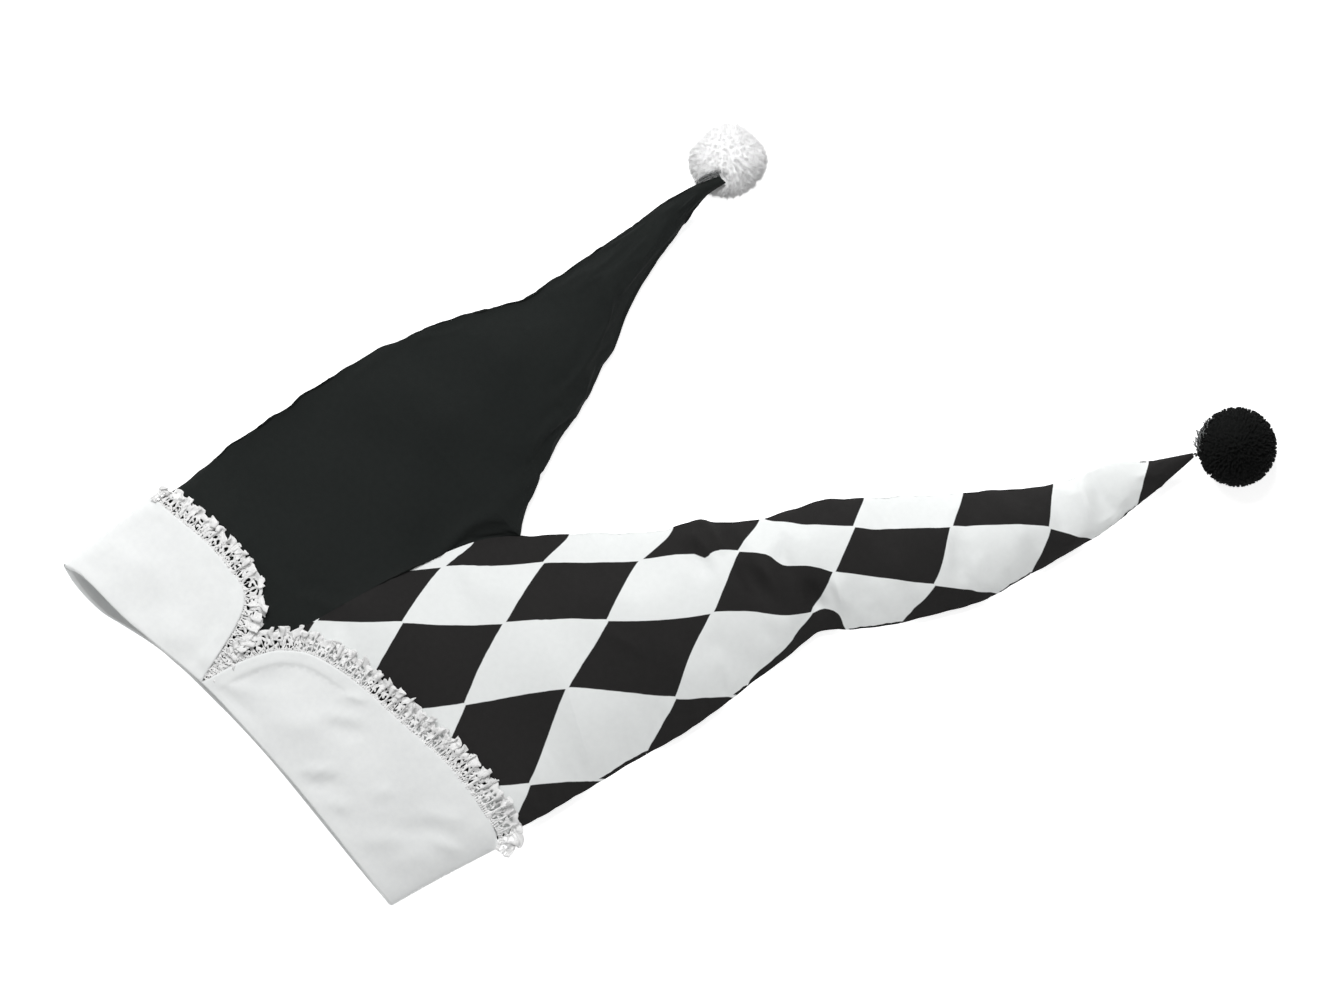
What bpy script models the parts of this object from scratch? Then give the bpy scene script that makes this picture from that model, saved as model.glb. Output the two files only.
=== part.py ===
"""A two-horned jester hat lying on its back on a table, in metres, +Z up.

One half is black cloth, the other a black and white harlequin print. Each half runs up into
a hollow horn that ends in a pompom. A doubled white cuff, edged with a lace ruffle, is turned
up round the mouth and is open at the centre front.

Sizes below are in millimetres, in the hat's own plan: u runs across the mouth from its
middle, v runs up the hat from its mouth, z rises from the table. Both horns lie along v,
the harlequin one leaning to +u.
"""

import math
from collections import namedtuple

import bmesh
import bpy
from mathutils import Matrix, Vector
from mathutils.bvhtree import BVHTree

MM = 0.001
HAT_NAME = "jester_hat"

# The middle of the hat's bounding box in its plan, which is the model's origin.
CENTRE_U = 91.3
CENTRE_V = 302.0

# How finely curved sheets are divided, and how the meshes are finished
PANEL_COLUMNS = 10
WIDE_COLUMNS = 16
ROW_STEPS = 2
EDGE_STEPS = 5
SHARP_ANGLE = math.radians(40)
WELD = 1e-6
CUTTER_REACH = 60.0
PIVOT_SIZE = 10.0

# Cloth
CLOTH = 1.2
FACING = 1.0
LACE = 0.8
GAP = 0.4
SEAM_GAP = 2.2
ROUND = 0.55
RIM_WIDTH = 30.0
RIM_SHARE = 0.4

# How far each layer of the mouth lies outside the crown cloth at the sides. It lies higher on
# the ridge by LAYER_RISE times that.
CUFF_OUT = 6.7
FACING_OUT = 3.3
LAYER_RISE = 0.62
BAND_IN = 3.6
BAND_DROP = 2.8
MOUTH_LAP = 0.4
BAND_DEPTH = 34.0

# Folds, as distances along each horn's own direction
BLACK_ROOT = 243.0
BLACK_BEND = 362.0
HARLEQUIN_ROOT = 235.5
HARLEQUIN_BEND = 372.0
ROOT_HALF = 23.5
BEND_HALF = 21.5
HARLEQUIN_LEAN = math.radians(26.7)
FOLD_AXIS_Z = 5.0

# Pompoms
POMPOM_R = 25.0
WHITE_POMPOM = (-44.0, 476.8)
BLACK_POMPOM = (307.4, 582.9)
WHITE_TIP = (-38.6, 465.0, 38.0)
BLACK_TIP = (293.0, 560.6, 20.0)
PARTING = 14.5
THREAD_R = 0.9
KNOT_R = 2.2
TIE_CLEARANCE = 1.0
CORE_HOLE_R = 3.0
HOLE_PAST_MIDDLE = 4.0
HOLE_PAST_SURFACE = 2.0

# One cross-section of half the hat: where its two edges lie, how high the cloth is under it,
# at its side seams, at its inner edge and on its crest, and how far it is a tube of its own (1)
# and not half of one dome (0).
Station = namedtuple("Station", "ou ov iu iv base seam ridge crest lobe")

CENTRE_SEAM = [(-36.5, 14), (-27, 45), (-16, 84), (0, 145), (21, 197), (36, 219)]
BLACK_SIDE = [(-143, 8), (-139, 45), (-134, 84), (-128, 145), (-118.5, 200), (-115, 219.5)]
HARLEQUIN_SIDE = [(141.5, 8), (151, 45), (165, 84), (175, 115), (180, 136), (182, 145.6)]
CROWN_HEIGHTS = [
    (4.0, 14.0, 39.0, 34.0, 0.0),
    (4.0, 14.0, 39.0, 34.0, 0.0),
    (4.0, 13.5, 37.0, 33.0, 0.1),
    (0.0, 11.0, 30.0, 31.0, 0.4),
    (0.0, 9.5, 16.0, 29.0, 0.8),
    (0.0, 9.0, 9.0, 28.0, 1.0),
]

BLACK_HORN = [
    Station(-115, 219.5, 36, 219.5, 0.0, 9.0, 9.0, 28.0, 1.0),
    Station(-107, 246, 22, 246, 0.0, 9.0, 9.0, 27.5, 1.0),
    Station(-91, 285, 8, 285, 0.0, 8.5, 8.5, 26.0, 1.0),
    Station(-71, 322, -2, 322, 0.0, 8.0, 8.0, 23.0, 1.0),
    Station(-64, 358, -14, 358, 0.0, 7.5, 7.5, 20.5, 1.0),
    Station(-58, 391, -27, 391, 0.0, 7.5, 7.5, 18.0, 1.0),
    Station(-53, 423, -33, 423, 3.0, 9.5, 9.5, 17.5, 1.0),
    Station(-48, 447, -35, 447, 22.0, 27.0, 27.0, 33.0, 1.0),
    Station(-43.5, 463, -34.5, 462, 34.5, 38.5, 38.5, 43.0, 1.0),
]

HARLEQUIN_HORN = [
    Station(182, 145.6, 36, 219, 0.0, 9.0, 9.0, 28.0, 1.0),
    Station(189, 176, 57, 242, 0.0, 9.0, 9.0, 27.5, 1.0),
    Station(200, 228, 92.5, 282, 0.0, 8.5, 8.5, 25.5, 1.0),
    Station(206, 290, 125, 331, 0.0, 8.0, 8.0, 22.5, 1.0),
    Station(211, 318, 143, 352, 0.0, 8.0, 8.0, 21.5, 1.0),
    Station(226, 333, 152, 371, 0.0, 8.0, 8.0, 21.5, 1.0),
    Station(266, 407, 209, 438, 0.0, 7.5, 7.5, 21.0, 1.0),
    Station(283, 464, 245, 483, 2.0, 8.5, 8.5, 19.5, 1.0),
    Station(291, 523, 271, 533, 8.0, 13.5, 13.5, 20.5, 1.0),
    Station(296.5, 554.5, 288, 559, 15.0, 19.0, 19.0, 23.5, 1.0),
]

# Outlines of the two front flaps of the cuff, in plan, from the side round by the notch.
LEFT_FLAP = [
    (-165, 3), (-101, 5), (-70, 8), (-38.5, 12), (-39, 18), (-41.5, 33), (-46, 50),
    (-52, 63), (-61, 71), (-74, 73), (-100, 74), (-122, 71), (-141, 68), (-165, 62),
]
RIGHT_FLAP = [
    (170, 2), (100, 6), (50, 11), (0, 13), (-33.5, 13), (-32.5, 21), (-29, 36), (-21, 54),
    (-12, 65), (2, 74), (20, 79.5), (40, 82), (66, 84), (94, 86), (120, 86.5), (145, 84),
    (180, 74),
]
# Where the free corner of each flap folds back: a point on the fold and the fold's direction.
LEFT_FOLD = ((-63.0, 49.0), (0.72, -0.694))
RIGHT_FOLD = ((-7.0, 48.0), (-0.63, -0.776))
FOLD_GAP = 0.8
CORNER_AXIS_Z = 44.6

# The cuff's free edge, which the lace is sewn to, and how wide the ruffle is.
LEFT_LACE = [
    (-142, 68), (-122, 71.5), (-100, 74.5), (-74, 73.5), (-60, 71.5), (-51, 63), (-45.5, 50),
]
RIGHT_LACE = [
    (-22, 54), (-13, 66), (1, 75), (19, 80.3), (40, 82.8), (66, 84.8), (94, 86.8),
    (120, 87.3), (150, 84.5), (166, 79),
]
LACE_WIDTH = 13.0
LACE_END_WIDTH = 5.0
LACE_NARROWS = 25.0
LACE_WAVES = 0.75
LACE_WAVE_LENGTH = 21.0
LACE_CLEARANCE = 1.0
LACE_OVER_CROWN = 2.2
BACK_LACE = [(-110.3, 71.2), (0, 73.5), (136, 75.6)]
BACK_LACE_INNER_Z = 0.9
BACK_LACE_OUTER_Z = 1.0

BACK_CUFF = [(-149.7, -3, 148.2, 0), (-146, 35, 155.5, 35), (-142.3, 70, 168, 76)]
BACK_CUFF_SEAM = 14.0
BACK_FACING_IN = 3.4
BACK_FACING_LIFT = 1.7

MATERIALS = {
    "black_cloth": ((0.018, 0.02, 0.019), 0.9),
    "harlequin_cloth": ((0.28, 0.285, 0.28), 0.88),
    "white_cloth": ((0.8, 0.81, 0.81), 0.9),
    "lace": ((0.83, 0.83, 0.82), 0.85),
    "white_yarn": ((0.86, 0.86, 0.86), 0.95),
    "black_yarn": ((0.012, 0.012, 0.012), 0.95),
    "thread": ((0.3, 0.31, 0.31), 0.7),
}

Plane = namedtuple("Plane", "point normal")


# ---------------------------------------------------------------- scene and small helpers


def clear_scene():
    for obj in list(bpy.data.objects):
        bpy.data.objects.remove(obj, do_unlink=True)


def new_collection(name):
    collection = bpy.data.collections.new(name)
    bpy.context.scene.collection.children.link(collection)
    return collection


def make_materials():
    made = {}
    for name, (colour, roughness) in MATERIALS.items():
        material = bpy.data.materials.new(name)
        material.use_nodes = True
        shader = material.node_tree.nodes["Principled BSDF"]
        shader.inputs["Base Color"].default_value = (*colour, 1.0)
        shader.inputs["Roughness"].default_value = roughness
        shader.inputs["Metallic"].default_value = 0.0
        made[name] = material
    return made


def at(u, v, z):
    """A place in the hat's plan and its height, as a place in the model."""
    return Vector(((u - CENTRE_U) * MM, (v - CENTRE_V) * MM, z * MM))


def smooth_through(rows, steps):
    """Rows of numbers on a smooth curve through the given rows, steps to each stretch."""
    ends = [rows[0], *rows, rows[-1]]
    found = []
    for a, b, c, d in zip(ends, ends[1:], ends[2:], ends[3:]):
        for step in range(steps):
            x = step / steps
            found.append([
                q + 0.5 * x * (r - p + x * (2 * p - 5 * q + 4 * r - s + x * (3 * (q - r) + s - p)))
                for p, q, r, s in zip(a, b, c, d)
            ])
    found.append(list(rows[-1]))
    return found


def refined(stations):
    """Stations on a smooth curve through the given ones, none of them under the table."""
    found = [Station(*row) for row in smooth_through(stations, ROW_STEPS)]
    return [s._replace(base=max(s.base, 0.0)) for s in found]


def columns(count):
    """Places across a panel, from 0 to 1, closer together towards its seams."""
    return [(1 - math.cos(math.pi * n / count)) / 2 for n in range(count + 1)]


# ---------------------------------------------------------------- cross-sections


def plan_point(station, t):
    u = station.ou + (station.iu - station.ou) * t
    v = station.ov + (station.iv - station.ov) * t
    return u, v


def front_height(station, t):
    rise = station.ridge - station.seam
    dome = station.seam + rise * math.sin(math.pi * t / 2) ** ROUND
    line = station.seam + rise * t
    arch = (station.crest - (station.seam + station.ridge) / 2) * abs(math.sin(math.pi * t)) ** ROUND
    return (1 - station.lobe) * dome + station.lobe * (line + arch) + SEAM_GAP / 2


def back_height(station, t):
    width = math.hypot(station.iu - station.ou, station.iv - station.ov)
    rim = min(RIM_WIDTH / width, RIM_SHARE)
    near_outer = max(0.0, 1 - t / rim) ** 3
    near_inner = max(0.0, 1 - (1 - t) / rim) ** 3
    lift = station.seam - SEAM_GAP / 2 - station.base
    return station.base + lift * (near_outer + station.lobe * near_inner)


def crown_stations(side, shift):
    """The crown's stations from the mouth to the crotch. shift keeps the seam's halves apart."""
    found = []
    for (ou, ov), (iu, iv), heights in zip(side, CENTRE_SEAM, CROWN_HEIGHTS):
        found.append(Station(ou, ov, iu + shift, iv, *heights))
    return found


def lapped(stations):
    """The same stations with one more before the first, past the mouth's edge."""
    first, second = stations[:2]
    before = [a + (a - b) * MOUTH_LAP for a, b in zip(first, second)]
    return [Station(*before), *stations]


def grown(stations, out):
    """The same stations as a layer that lies further out at the sides and on the ridge."""
    return [
        s._replace(ou=s.ou + math.copysign(out, s.ou), ridge=s.ridge + LAYER_RISE * out)
        for s in stations
    ]


# ---------------------------------------------------------------- making objects


def grid_mesh(name, rows):
    """An open sheet through rows of points."""
    wide = len(rows[0])
    points = [p for row in rows for p in row]
    faces = []
    for r in range(len(rows) - 1):
        for c in range(wide - 1):
            a = r * wide + c
            faces.append((a, a + 1, a + wide + 1, a + wide))
    mesh = bpy.data.meshes.new(name)
    mesh.from_pydata(points, [], faces)
    return mesh


def face_towards(mesh, upward):
    """Turns the whole sheet over if it faces down where it should face up, or the reverse."""
    total = sum(p.normal.z * p.area for p in mesh.polygons)
    if (total > 0) != upward:
        mesh.flip_normals()


def kept_between(mesh, planes):
    """Cuts away what lies outside each (plane, sign): sign 1 keeps the side it points to."""
    bm = bmesh.new()
    bm.from_mesh(mesh)
    for plane, sign in planes:
        geometry = [*bm.verts, *bm.edges, *bm.faces]
        bmesh.ops.bisect_plane(
            bm, geom=geometry, plane_co=plane.point, plane_no=sign * plane.normal,
            clear_inner=True, dist=WELD,
        )
    bm.to_mesh(mesh)
    bm.free()


def add_object(name, mesh, parts, material, parent=None):
    mesh.materials.append(material)
    mesh.shade_smooth()
    mesh.set_sharp_from_angle(angle=SHARP_ANGLE)
    obj = bpy.data.objects.new(name, mesh)
    parts.objects.link(obj)
    if parent is not None:
        obj.parent = parent
        obj.matrix_parent_inverse = Matrix.Translation(-parent.location)
    return obj


def add_thickness(obj, thickness):
    solidify = obj.modifiers.new("cloth", "SOLIDIFY")
    solidify.thickness = thickness * MM
    solidify.offset = -1.0
    solidify.use_even_offset = False


def add_pivot(name, place, parts):
    pivot = bpy.data.objects.new(name, None)
    pivot.empty_display_size = PIVOT_SIZE * MM
    pivot.location = place
    parts.objects.link(pivot)
    return pivot


def panel(name, stations, height, upward, planes, kit, material, parent=None, thickness=CLOTH):
    """A cloth panel lofted through stations, cut between planes and given its thickness."""
    across = columns(PANEL_COLUMNS)
    rows = [[at(*plan_point(s, t), height(s, t)) for t in across] for s in stations]
    mesh = grid_mesh(name, rows)
    kept_between(mesh, planes)
    face_towards(mesh, upward)
    obj = add_object(name, mesh, kit.parts, kit.materials[material], parent)
    add_thickness(obj, thickness)
    return obj


def outline_cutter(name, outline, cutters):
    """A tall closed prism over a flat outline, which trims a sheet to that outline."""
    curve = bpy.data.curves.new(name, "CURVE")
    curve.dimensions = "2D"
    curve.fill_mode = "BOTH"
    curve.extrude = CUTTER_REACH * MM
    spline = curve.splines.new("POLY")
    spline.points.add(len(outline) - 1)
    for point, (u, v) in zip(spline.points, outline):
        point.co = (*at(u, v, 0).xy, 0, 1)
    spline.use_cyclic_u = True
    guide = bpy.data.objects.new(name + "_curve", curve)
    cutters.objects.link(guide)
    bpy.context.view_layer.update()
    mesh = bpy.data.meshes.new_from_object(guide.evaluated_get(bpy.context.evaluated_depsgraph_get()))
    bpy.data.objects.remove(guide, do_unlink=True)
    bm = bmesh.new()
    bm.from_mesh(mesh)
    bmesh.ops.remove_doubles(bm, verts=bm.verts, dist=WELD)
    bmesh.ops.recalc_face_normals(bm, faces=bm.faces)
    bm.to_mesh(mesh)
    bm.free()
    cutter = bpy.data.objects.new(name, mesh)
    cutter.hide_render = True
    cutter.display_type = "WIRE"
    cutters.objects.link(cutter)
    return cutter


def keep_inside(obj, cutter):
    trim = obj.modifiers.new("outline", "BOOLEAN")
    trim.operation = "INTERSECT"
    trim.object = cutter


Kit = namedtuple("Kit", "parts cutters materials")


# ---------------------------------------------------------------- the crown


def crown(kit):
    for colour, side, shift in (("black", BLACK_SIDE, -GAP / 2), ("harlequin", HARLEQUIN_SIDE, GAP / 2)):
        stations = refined(crown_stations(side, shift))
        cloth = colour + "_cloth"
        panel(colour + "_crown_front", stations, front_height, True, [], kit, cloth)
        panel(colour + "_crown_back", stations, back_height, False, [], kit, cloth)


def head_band(kit):
    """The white band sewn inside the mouth, in a front half and a back half."""
    left = crown_stations(BLACK_SIDE, 0.0)
    right = crown_stations(HARLEQUIN_SIDE, 0.0)
    end = Plane(at(0, BAND_DEPTH, 0), Vector((0, 1, 0)))
    rows = []
    for a, b in zip(refined(left), refined(right)):
        inner_a = a._replace(ou=a.ou + BAND_IN, ridge=a.ridge - BAND_DROP)
        inner_b = b._replace(ou=b.ou - BAND_IN, ridge=b.ridge - BAND_DROP)
        across = columns(PANEL_COLUMNS)
        row = [at(*plan_point(inner_a, t), front_height(inner_a, t)) for t in across]
        row += [at(*plan_point(inner_b, t), front_height(inner_b, t)) for t in reversed(across[:-1])]
        rows.append(row)
    add_band("head_band_front", rows, True, end, kit)
    rows = []
    for a, b in zip(refined(left), refined(right)):
        full = Station(a.ou + BAND_IN, a.ov, b.ou - BAND_IN, b.ov, a.base + CLOTH + GAP,
                       a.seam, 0, 0, 1.0)
        rows.append([at(*plan_point(full, t), back_height(full, t)) for t in columns(WIDE_COLUMNS)])
    add_band("head_band_back", rows, False, end, kit)


def add_band(name, rows, upward, end, kit):
    mesh = grid_mesh(name, rows)
    kept_between(mesh, [(end, -1)])
    face_towards(mesh, upward)
    obj = add_object(name, mesh, kit.parts, kit.materials["white_cloth"])
    add_thickness(obj, FACING)


# ---------------------------------------------------------------- the horns


def horn(colour, stations, direction, root, bend, pivots, kit):
    """A horn's front and back panels, cut into two stiff lengths and two soft folds."""
    cloth = colour + "_cloth"

    def cut(distance):
        return Plane(at(direction.x * distance, direction.y * distance, 0), direction)

    lengths = [
        ("root_fold", [(cut(root - ROOT_HALF + GAP), 1), (cut(root + ROOT_HALF - GAP), -1)], None),
        ("horn_lower", [(cut(root + ROOT_HALF), 1), (cut(bend - BEND_HALF), -1)], pivots[0]),
        ("bend_fold", [(cut(bend - BEND_HALF + GAP), 1), (cut(bend + BEND_HALF - GAP), -1)], pivots[0]),
        ("horn_upper", [(cut(bend + BEND_HALF), 1)], pivots[1]),
    ]
    for name, planes, pivot in lengths:
        for face, height, upward in (("front", front_height, True), ("back", back_height, False)):
            full_name = f"{colour}_{name}_{face}"
            panel(full_name, refined(stations), height, upward, planes, kit, cloth, pivot)


# ---------------------------------------------------------------- the cuff and its lace


def fold_plane(fold):
    (u, v), (du, dv) = fold
    return Plane(at(u, v, 0), Vector((-dv, du, 0)).normalized())


def cuff_flap(side, stations, outline, fold, inner_sign, pivot, kit):
    """One front flap of the cuff: its outer cloth and its facing, with the free corner apart."""
    plane = fold_plane(fold)
    stay = Plane(plane.point - inner_sign * FOLD_GAP * MM * plane.normal, plane.normal)
    turn = Plane(plane.point + inner_sign * FOLD_GAP * MM * plane.normal, plane.normal)
    cutter = outline_cutter(f"{side}_flap_outline", outline, kit.cutters)
    layers = (("cuff", CUFF_OUT, CLOTH), ("cuff_facing", FACING_OUT, FACING))
    for name, out, thickness in layers:
        layer = refined(grown(lapped(stations), out))
        for piece, planes, parent in (
            (f"{side}_{name}", [(stay, -inner_sign)], None),
            (f"{side}_{name}_corner", [(turn, inner_sign)], pivot),
        ):
            obj = panel(piece, layer, front_height, True, planes, kit, "white_cloth", parent, thickness)
            keep_inside(obj, cutter)


def back_cuff(kit):
    layers = (
        ("back_cuff", 0.0, 0.0, CLOTH),
        ("back_cuff_facing", BACK_FACING_IN, BACK_FACING_LIFT, FACING),
    )
    for name, inset, lift, thickness in layers:
        stations = [
            Station(lu + inset, lv, ru - inset, rv, lift, BACK_CUFF_SEAM, 0, 0, 1.0)
            for lu, lv, ru, rv in BACK_CUFF
        ]
        rows = [
            [at(*plan_point(s, t), back_height(s, t)) for t in columns(WIDE_COLUMNS)]
            for s in refined(stations)
        ]
        mesh = grid_mesh(name, rows)
        face_towards(mesh, False)
        obj = add_object(name, mesh, kit.parts, kit.materials["white_cloth"])
        add_thickness(obj, thickness)


def surface_of(objects):
    """Something that can be asked how high these sheets are at a place in the plan."""
    points, faces = [], []
    for obj in objects:
        first = len(points)
        points += [v.co.copy() for v in obj.data.vertices]
        faces += [tuple(first + i for i in p.vertices) for p in obj.data.polygons]
    return BVHTree.FromPolygons(points, faces)


def height_on(surface, u, v):
    hit = surface.ray_cast(at(u, v, CUTTER_REACH), Vector((0, 0, -1)))[0]
    if hit is None:
        hit = surface.find_nearest(at(u, v, 0))[0]
    return hit.z / MM


def lace_rows(edge, outwards, inner_height, outer_height):
    """The ruffle's rows of points along the cuff's free edge, from the cuff outwards.

    The edge starts at the notch, where the ruffle is narrow.
    """
    path = [Vector(p) for p in smooth_through(edge, EDGE_STEPS)]
    total = 0.0
    rows = []
    for n, p in enumerate(path):
        ahead = path[min(n + 1, len(path) - 1)]
        behind = path[max(n - 1, 0)]
        total += (p - path[max(n - 1, 0)]).length
        along = (ahead - behind).normalized()
        away = Vector((-along.y, along.x)) * outwards
        width = LACE_END_WIDTH + (LACE_WIDTH - LACE_END_WIDTH) * min(1.0, total / LACE_NARROWS)
        wave = LACE_WAVES * math.sin(2 * math.pi * total / LACE_WAVE_LENGTH)
        row = []
        for x in (0.0, 0.5, 1.0):
            q = p + away * (LACE_CLEARANCE + x * (width + wave))
            z = inner_height(*q) * (1 - x) + outer_height(*q) * x + x * (1 + wave)
            row.append(at(q.x, q.y, z))
        rows.append(row)
    return rows


def add_lace(name, rows, planes, parent, kit):
    mesh = grid_mesh(name, rows)
    kept_between(mesh, planes)
    face_towards(mesh, True)
    obj = add_object(name, mesh, kit.parts, kit.materials["lace"], parent)
    add_thickness(obj, LACE)


def front_lace(side, edge, outwards, fold, inner_sign, pivot, kit):
    names = ("black_crown_front", "harlequin_crown_front")
    surface = surface_of([kit.parts.objects[n] for n in names])
    plane = fold_plane(fold)
    stay = Plane(plane.point - inner_sign * FOLD_GAP * MM * plane.normal, plane.normal)
    turn = Plane(plane.point + inner_sign * FOLD_GAP * MM * plane.normal, plane.normal)

    def on_cuff(u, v):
        return height_on(surface, u, v) + CUFF_OUT * LAYER_RISE

    def on_crown(u, v):
        return height_on(surface, u, v) + LACE_OVER_CROWN

    rows = lace_rows(edge, outwards, on_cuff, on_crown)
    add_lace(f"{side}_lace", rows, [(stay, -inner_sign)], None, kit)
    add_lace(f"{side}_lace_corner", rows, [(turn, inner_sign)], pivot, kit)


def back_lace(kit):
    """The ruffle behind, flat between the crown and the table."""

    def at_cuff(u, v):
        return BACK_LACE_INNER_Z

    def away(u, v):
        return BACK_LACE_OUTER_Z

    rows = lace_rows(BACK_LACE, 1, at_cuff, away)
    add_lace("back_lace", rows, [], None, kit)


# ---------------------------------------------------------------- the pompoms


def ball(name, centre, material, parent, kit):
    mesh = bpy.data.meshes.new(name)
    bm = bmesh.new()
    bmesh.ops.create_uvsphere(bm, u_segments=20, v_segments=12, radius=POMPOM_R * MM)
    bmesh.ops.translate(bm, verts=bm.verts, vec=centre)
    bm.to_mesh(mesh)
    bm.free()
    return add_object(name, mesh, kit.parts, kit.materials[material], parent)


def cut_away(obj, cutter):
    cut = obj.modifiers.new("cut", "BOOLEAN")
    cut.operation = "DIFFERENCE"
    cut.object = cutter


def cutter_object(name, bm, matrix, cutters):
    mesh = bpy.data.meshes.new(name)
    bm.to_mesh(mesh)
    bm.free()
    cutter = bpy.data.objects.new(name, mesh)
    cutter.matrix_world = matrix
    cutter.hide_render = True
    cutter.display_type = "WIRE"
    cutters.objects.link(cutter)
    return cutter


def core_hole(obj, centre, direction, kit):
    """A hole from the ball's surface to its middle, where the tie is knotted."""
    bm = bmesh.new()
    depth = (POMPOM_R + HOLE_PAST_SURFACE + HOLE_PAST_MIDDLE) * MM
    radius = CORE_HOLE_R * MM
    bmesh.ops.create_cone(bm, cap_ends=True, segments=10, radius1=radius, radius2=radius, depth=depth)
    turn = direction.to_track_quat("Z", "Y").to_matrix().to_4x4()
    middle = centre + direction * (depth / 2 - HOLE_PAST_MIDDLE * MM)
    cut_away(obj, cutter_object(obj.name + "_hole", bm, Matrix.Translation(middle) @ turn, kit.cutters))


def part_the_fluff(obj, centre, direction, kit):
    """Flattens the side of the ball that the horn's tip lies on, where the fluff parts."""
    bm = bmesh.new()
    side = 3 * POMPOM_R * MM
    bmesh.ops.create_cube(bm, size=side)
    turn = direction.to_track_quat("Z", "Y").to_matrix().to_4x4()
    middle = centre + direction * (PARTING * MM + side / 2)
    cut_away(obj, cutter_object(obj.name + "_parting", bm, Matrix.Translation(middle) @ turn, kit.cutters))


def thread(name, points, material, parent, kit):
    """A short thread through points, as a closed mesh."""
    curve = bpy.data.curves.new(name, "CURVE")
    curve.dimensions = "3D"
    curve.bevel_depth = THREAD_R * MM
    curve.bevel_resolution = 1
    curve.use_fill_caps = True
    spline = curve.splines.new("POLY")
    spline.points.add(len(points) - 1)
    for point, place in zip(spline.points, points):
        point.co = (*place, 1)
    guide = bpy.data.objects.new(name + "_curve", curve)
    kit.parts.objects.link(guide)
    bpy.context.view_layer.update()
    mesh = bpy.data.meshes.new_from_object(guide.evaluated_get(bpy.context.evaluated_depsgraph_get()))
    bpy.data.objects.remove(guide, do_unlink=True)
    bm = bmesh.new()
    bm.from_mesh(mesh)
    bmesh.ops.remove_doubles(bm, verts=bm.verts, dist=WELD)
    bmesh.ops.recalc_face_normals(bm, faces=bm.faces)
    bm.to_mesh(mesh)
    bm.free()
    return add_object(name, mesh, kit.parts, kit.materials[material], parent)


def knot(name, place, material, parent, kit):
    mesh = bpy.data.meshes.new(name)
    bm = bmesh.new()
    bmesh.ops.create_icosphere(bm, subdivisions=2, radius=KNOT_R * MM)
    bmesh.ops.translate(bm, verts=bm.verts, vec=place)
    bm.to_mesh(mesh)
    bm.free()
    return add_object(name, mesh, kit.parts, kit.materials[material], parent)


def pompom(colour, plan, tip, parted, pivot, kit):
    """A yarn ball, the thread that ties it at its middle, and the loop sewn to the horn's tip."""
    centre = at(*plan, POMPOM_R)
    start = at(*tip)
    direction = (start - centre).normalized()
    yarn = ball(f"{colour}_pompom", centre, f"{colour}_yarn", pivot, kit)
    if parted:
        part_the_fluff(yarn, centre, direction, kit)
    core_hole(yarn, centre, direction, kit)
    span = (start - centre).length
    outer_end = centre + direction * (span - (KNOT_R + TIE_CLEARANCE) * MM)
    inner_end = centre + direction * (KNOT_R + GAP) * MM
    thread(f"{colour}_pompom_tie", [inner_end, (inner_end + outer_end) / 2, outer_end], "thread", pivot, kit)
    knot(f"{colour}_pompom_knot", centre, "thread", pivot, kit)
    knot(f"{colour}_tip_stitch", start, "thread", pivot, kit)


# ---------------------------------------------------------------- the whole hat


def build():
    clear_scene()
    kit = Kit(new_collection(HAT_NAME), new_collection("cutters"), make_materials())

    black_up = Vector((0, 1, 0))
    harlequin_up = Vector((math.sin(HARLEQUIN_LEAN), math.cos(HARLEQUIN_LEAN), 0))
    pivots = {}
    for name, direction, distance in (
        ("black_root", black_up, BLACK_ROOT), ("black_bend", black_up, BLACK_BEND),
        ("harlequin_root", harlequin_up, HARLEQUIN_ROOT), ("harlequin_bend", harlequin_up, HARLEQUIN_BEND),
    ):
        place = at(direction.x * distance, direction.y * distance, FOLD_AXIS_Z)
        pivots[name] = add_pivot(name + "_pivot", place, kit.parts)
    for name, tip in (("white_pompom", WHITE_TIP), ("black_pompom", BLACK_TIP)):
        pivots[name] = add_pivot(name + "_pivot", at(*tip), kit.parts)
    for name, fold in (("left_corner", LEFT_FOLD), ("right_corner", RIGHT_FOLD)):
        pivots[name] = add_pivot(name + "_pivot", at(*fold[0], CORNER_AXIS_Z), kit.parts)

    crown(kit)
    head_band(kit)
    horn("black", BLACK_HORN, black_up, BLACK_ROOT, BLACK_BEND,
         (pivots["black_root"], pivots["black_bend"]), kit)
    horn("harlequin", HARLEQUIN_HORN, harlequin_up, HARLEQUIN_ROOT, HARLEQUIN_BEND,
         (pivots["harlequin_root"], pivots["harlequin_bend"]), kit)

    left = crown_stations(BLACK_SIDE, 0.0)
    right = crown_stations(HARLEQUIN_SIDE, 0.0)
    cuff_flap("left", left, LEFT_FLAP, LEFT_FOLD, 1, pivots["left_corner"], kit)
    cuff_flap("right", right, RIGHT_FLAP, RIGHT_FOLD, -1, pivots["right_corner"], kit)
    back_cuff(kit)
    front_lace("left", LEFT_LACE[::-1], -1, LEFT_FOLD, 1, pivots["left_corner"], kit)
    front_lace("right", RIGHT_LACE, 1, RIGHT_FOLD, -1, pivots["right_corner"], kit)
    back_lace(kit)

    pompom("white", WHITE_POMPOM, WHITE_TIP, True, pivots["white_pompom"], kit)
    pompom("black", BLACK_POMPOM, BLACK_TIP, False, pivots["black_pompom"], kit)


build()
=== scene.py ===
import math

import bpy
import numpy as np
from mathutils import Matrix, Vector
from mathutils.bvhtree import BVHTree
from mathutils.geometry import delaunay_2d_cdt


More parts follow.
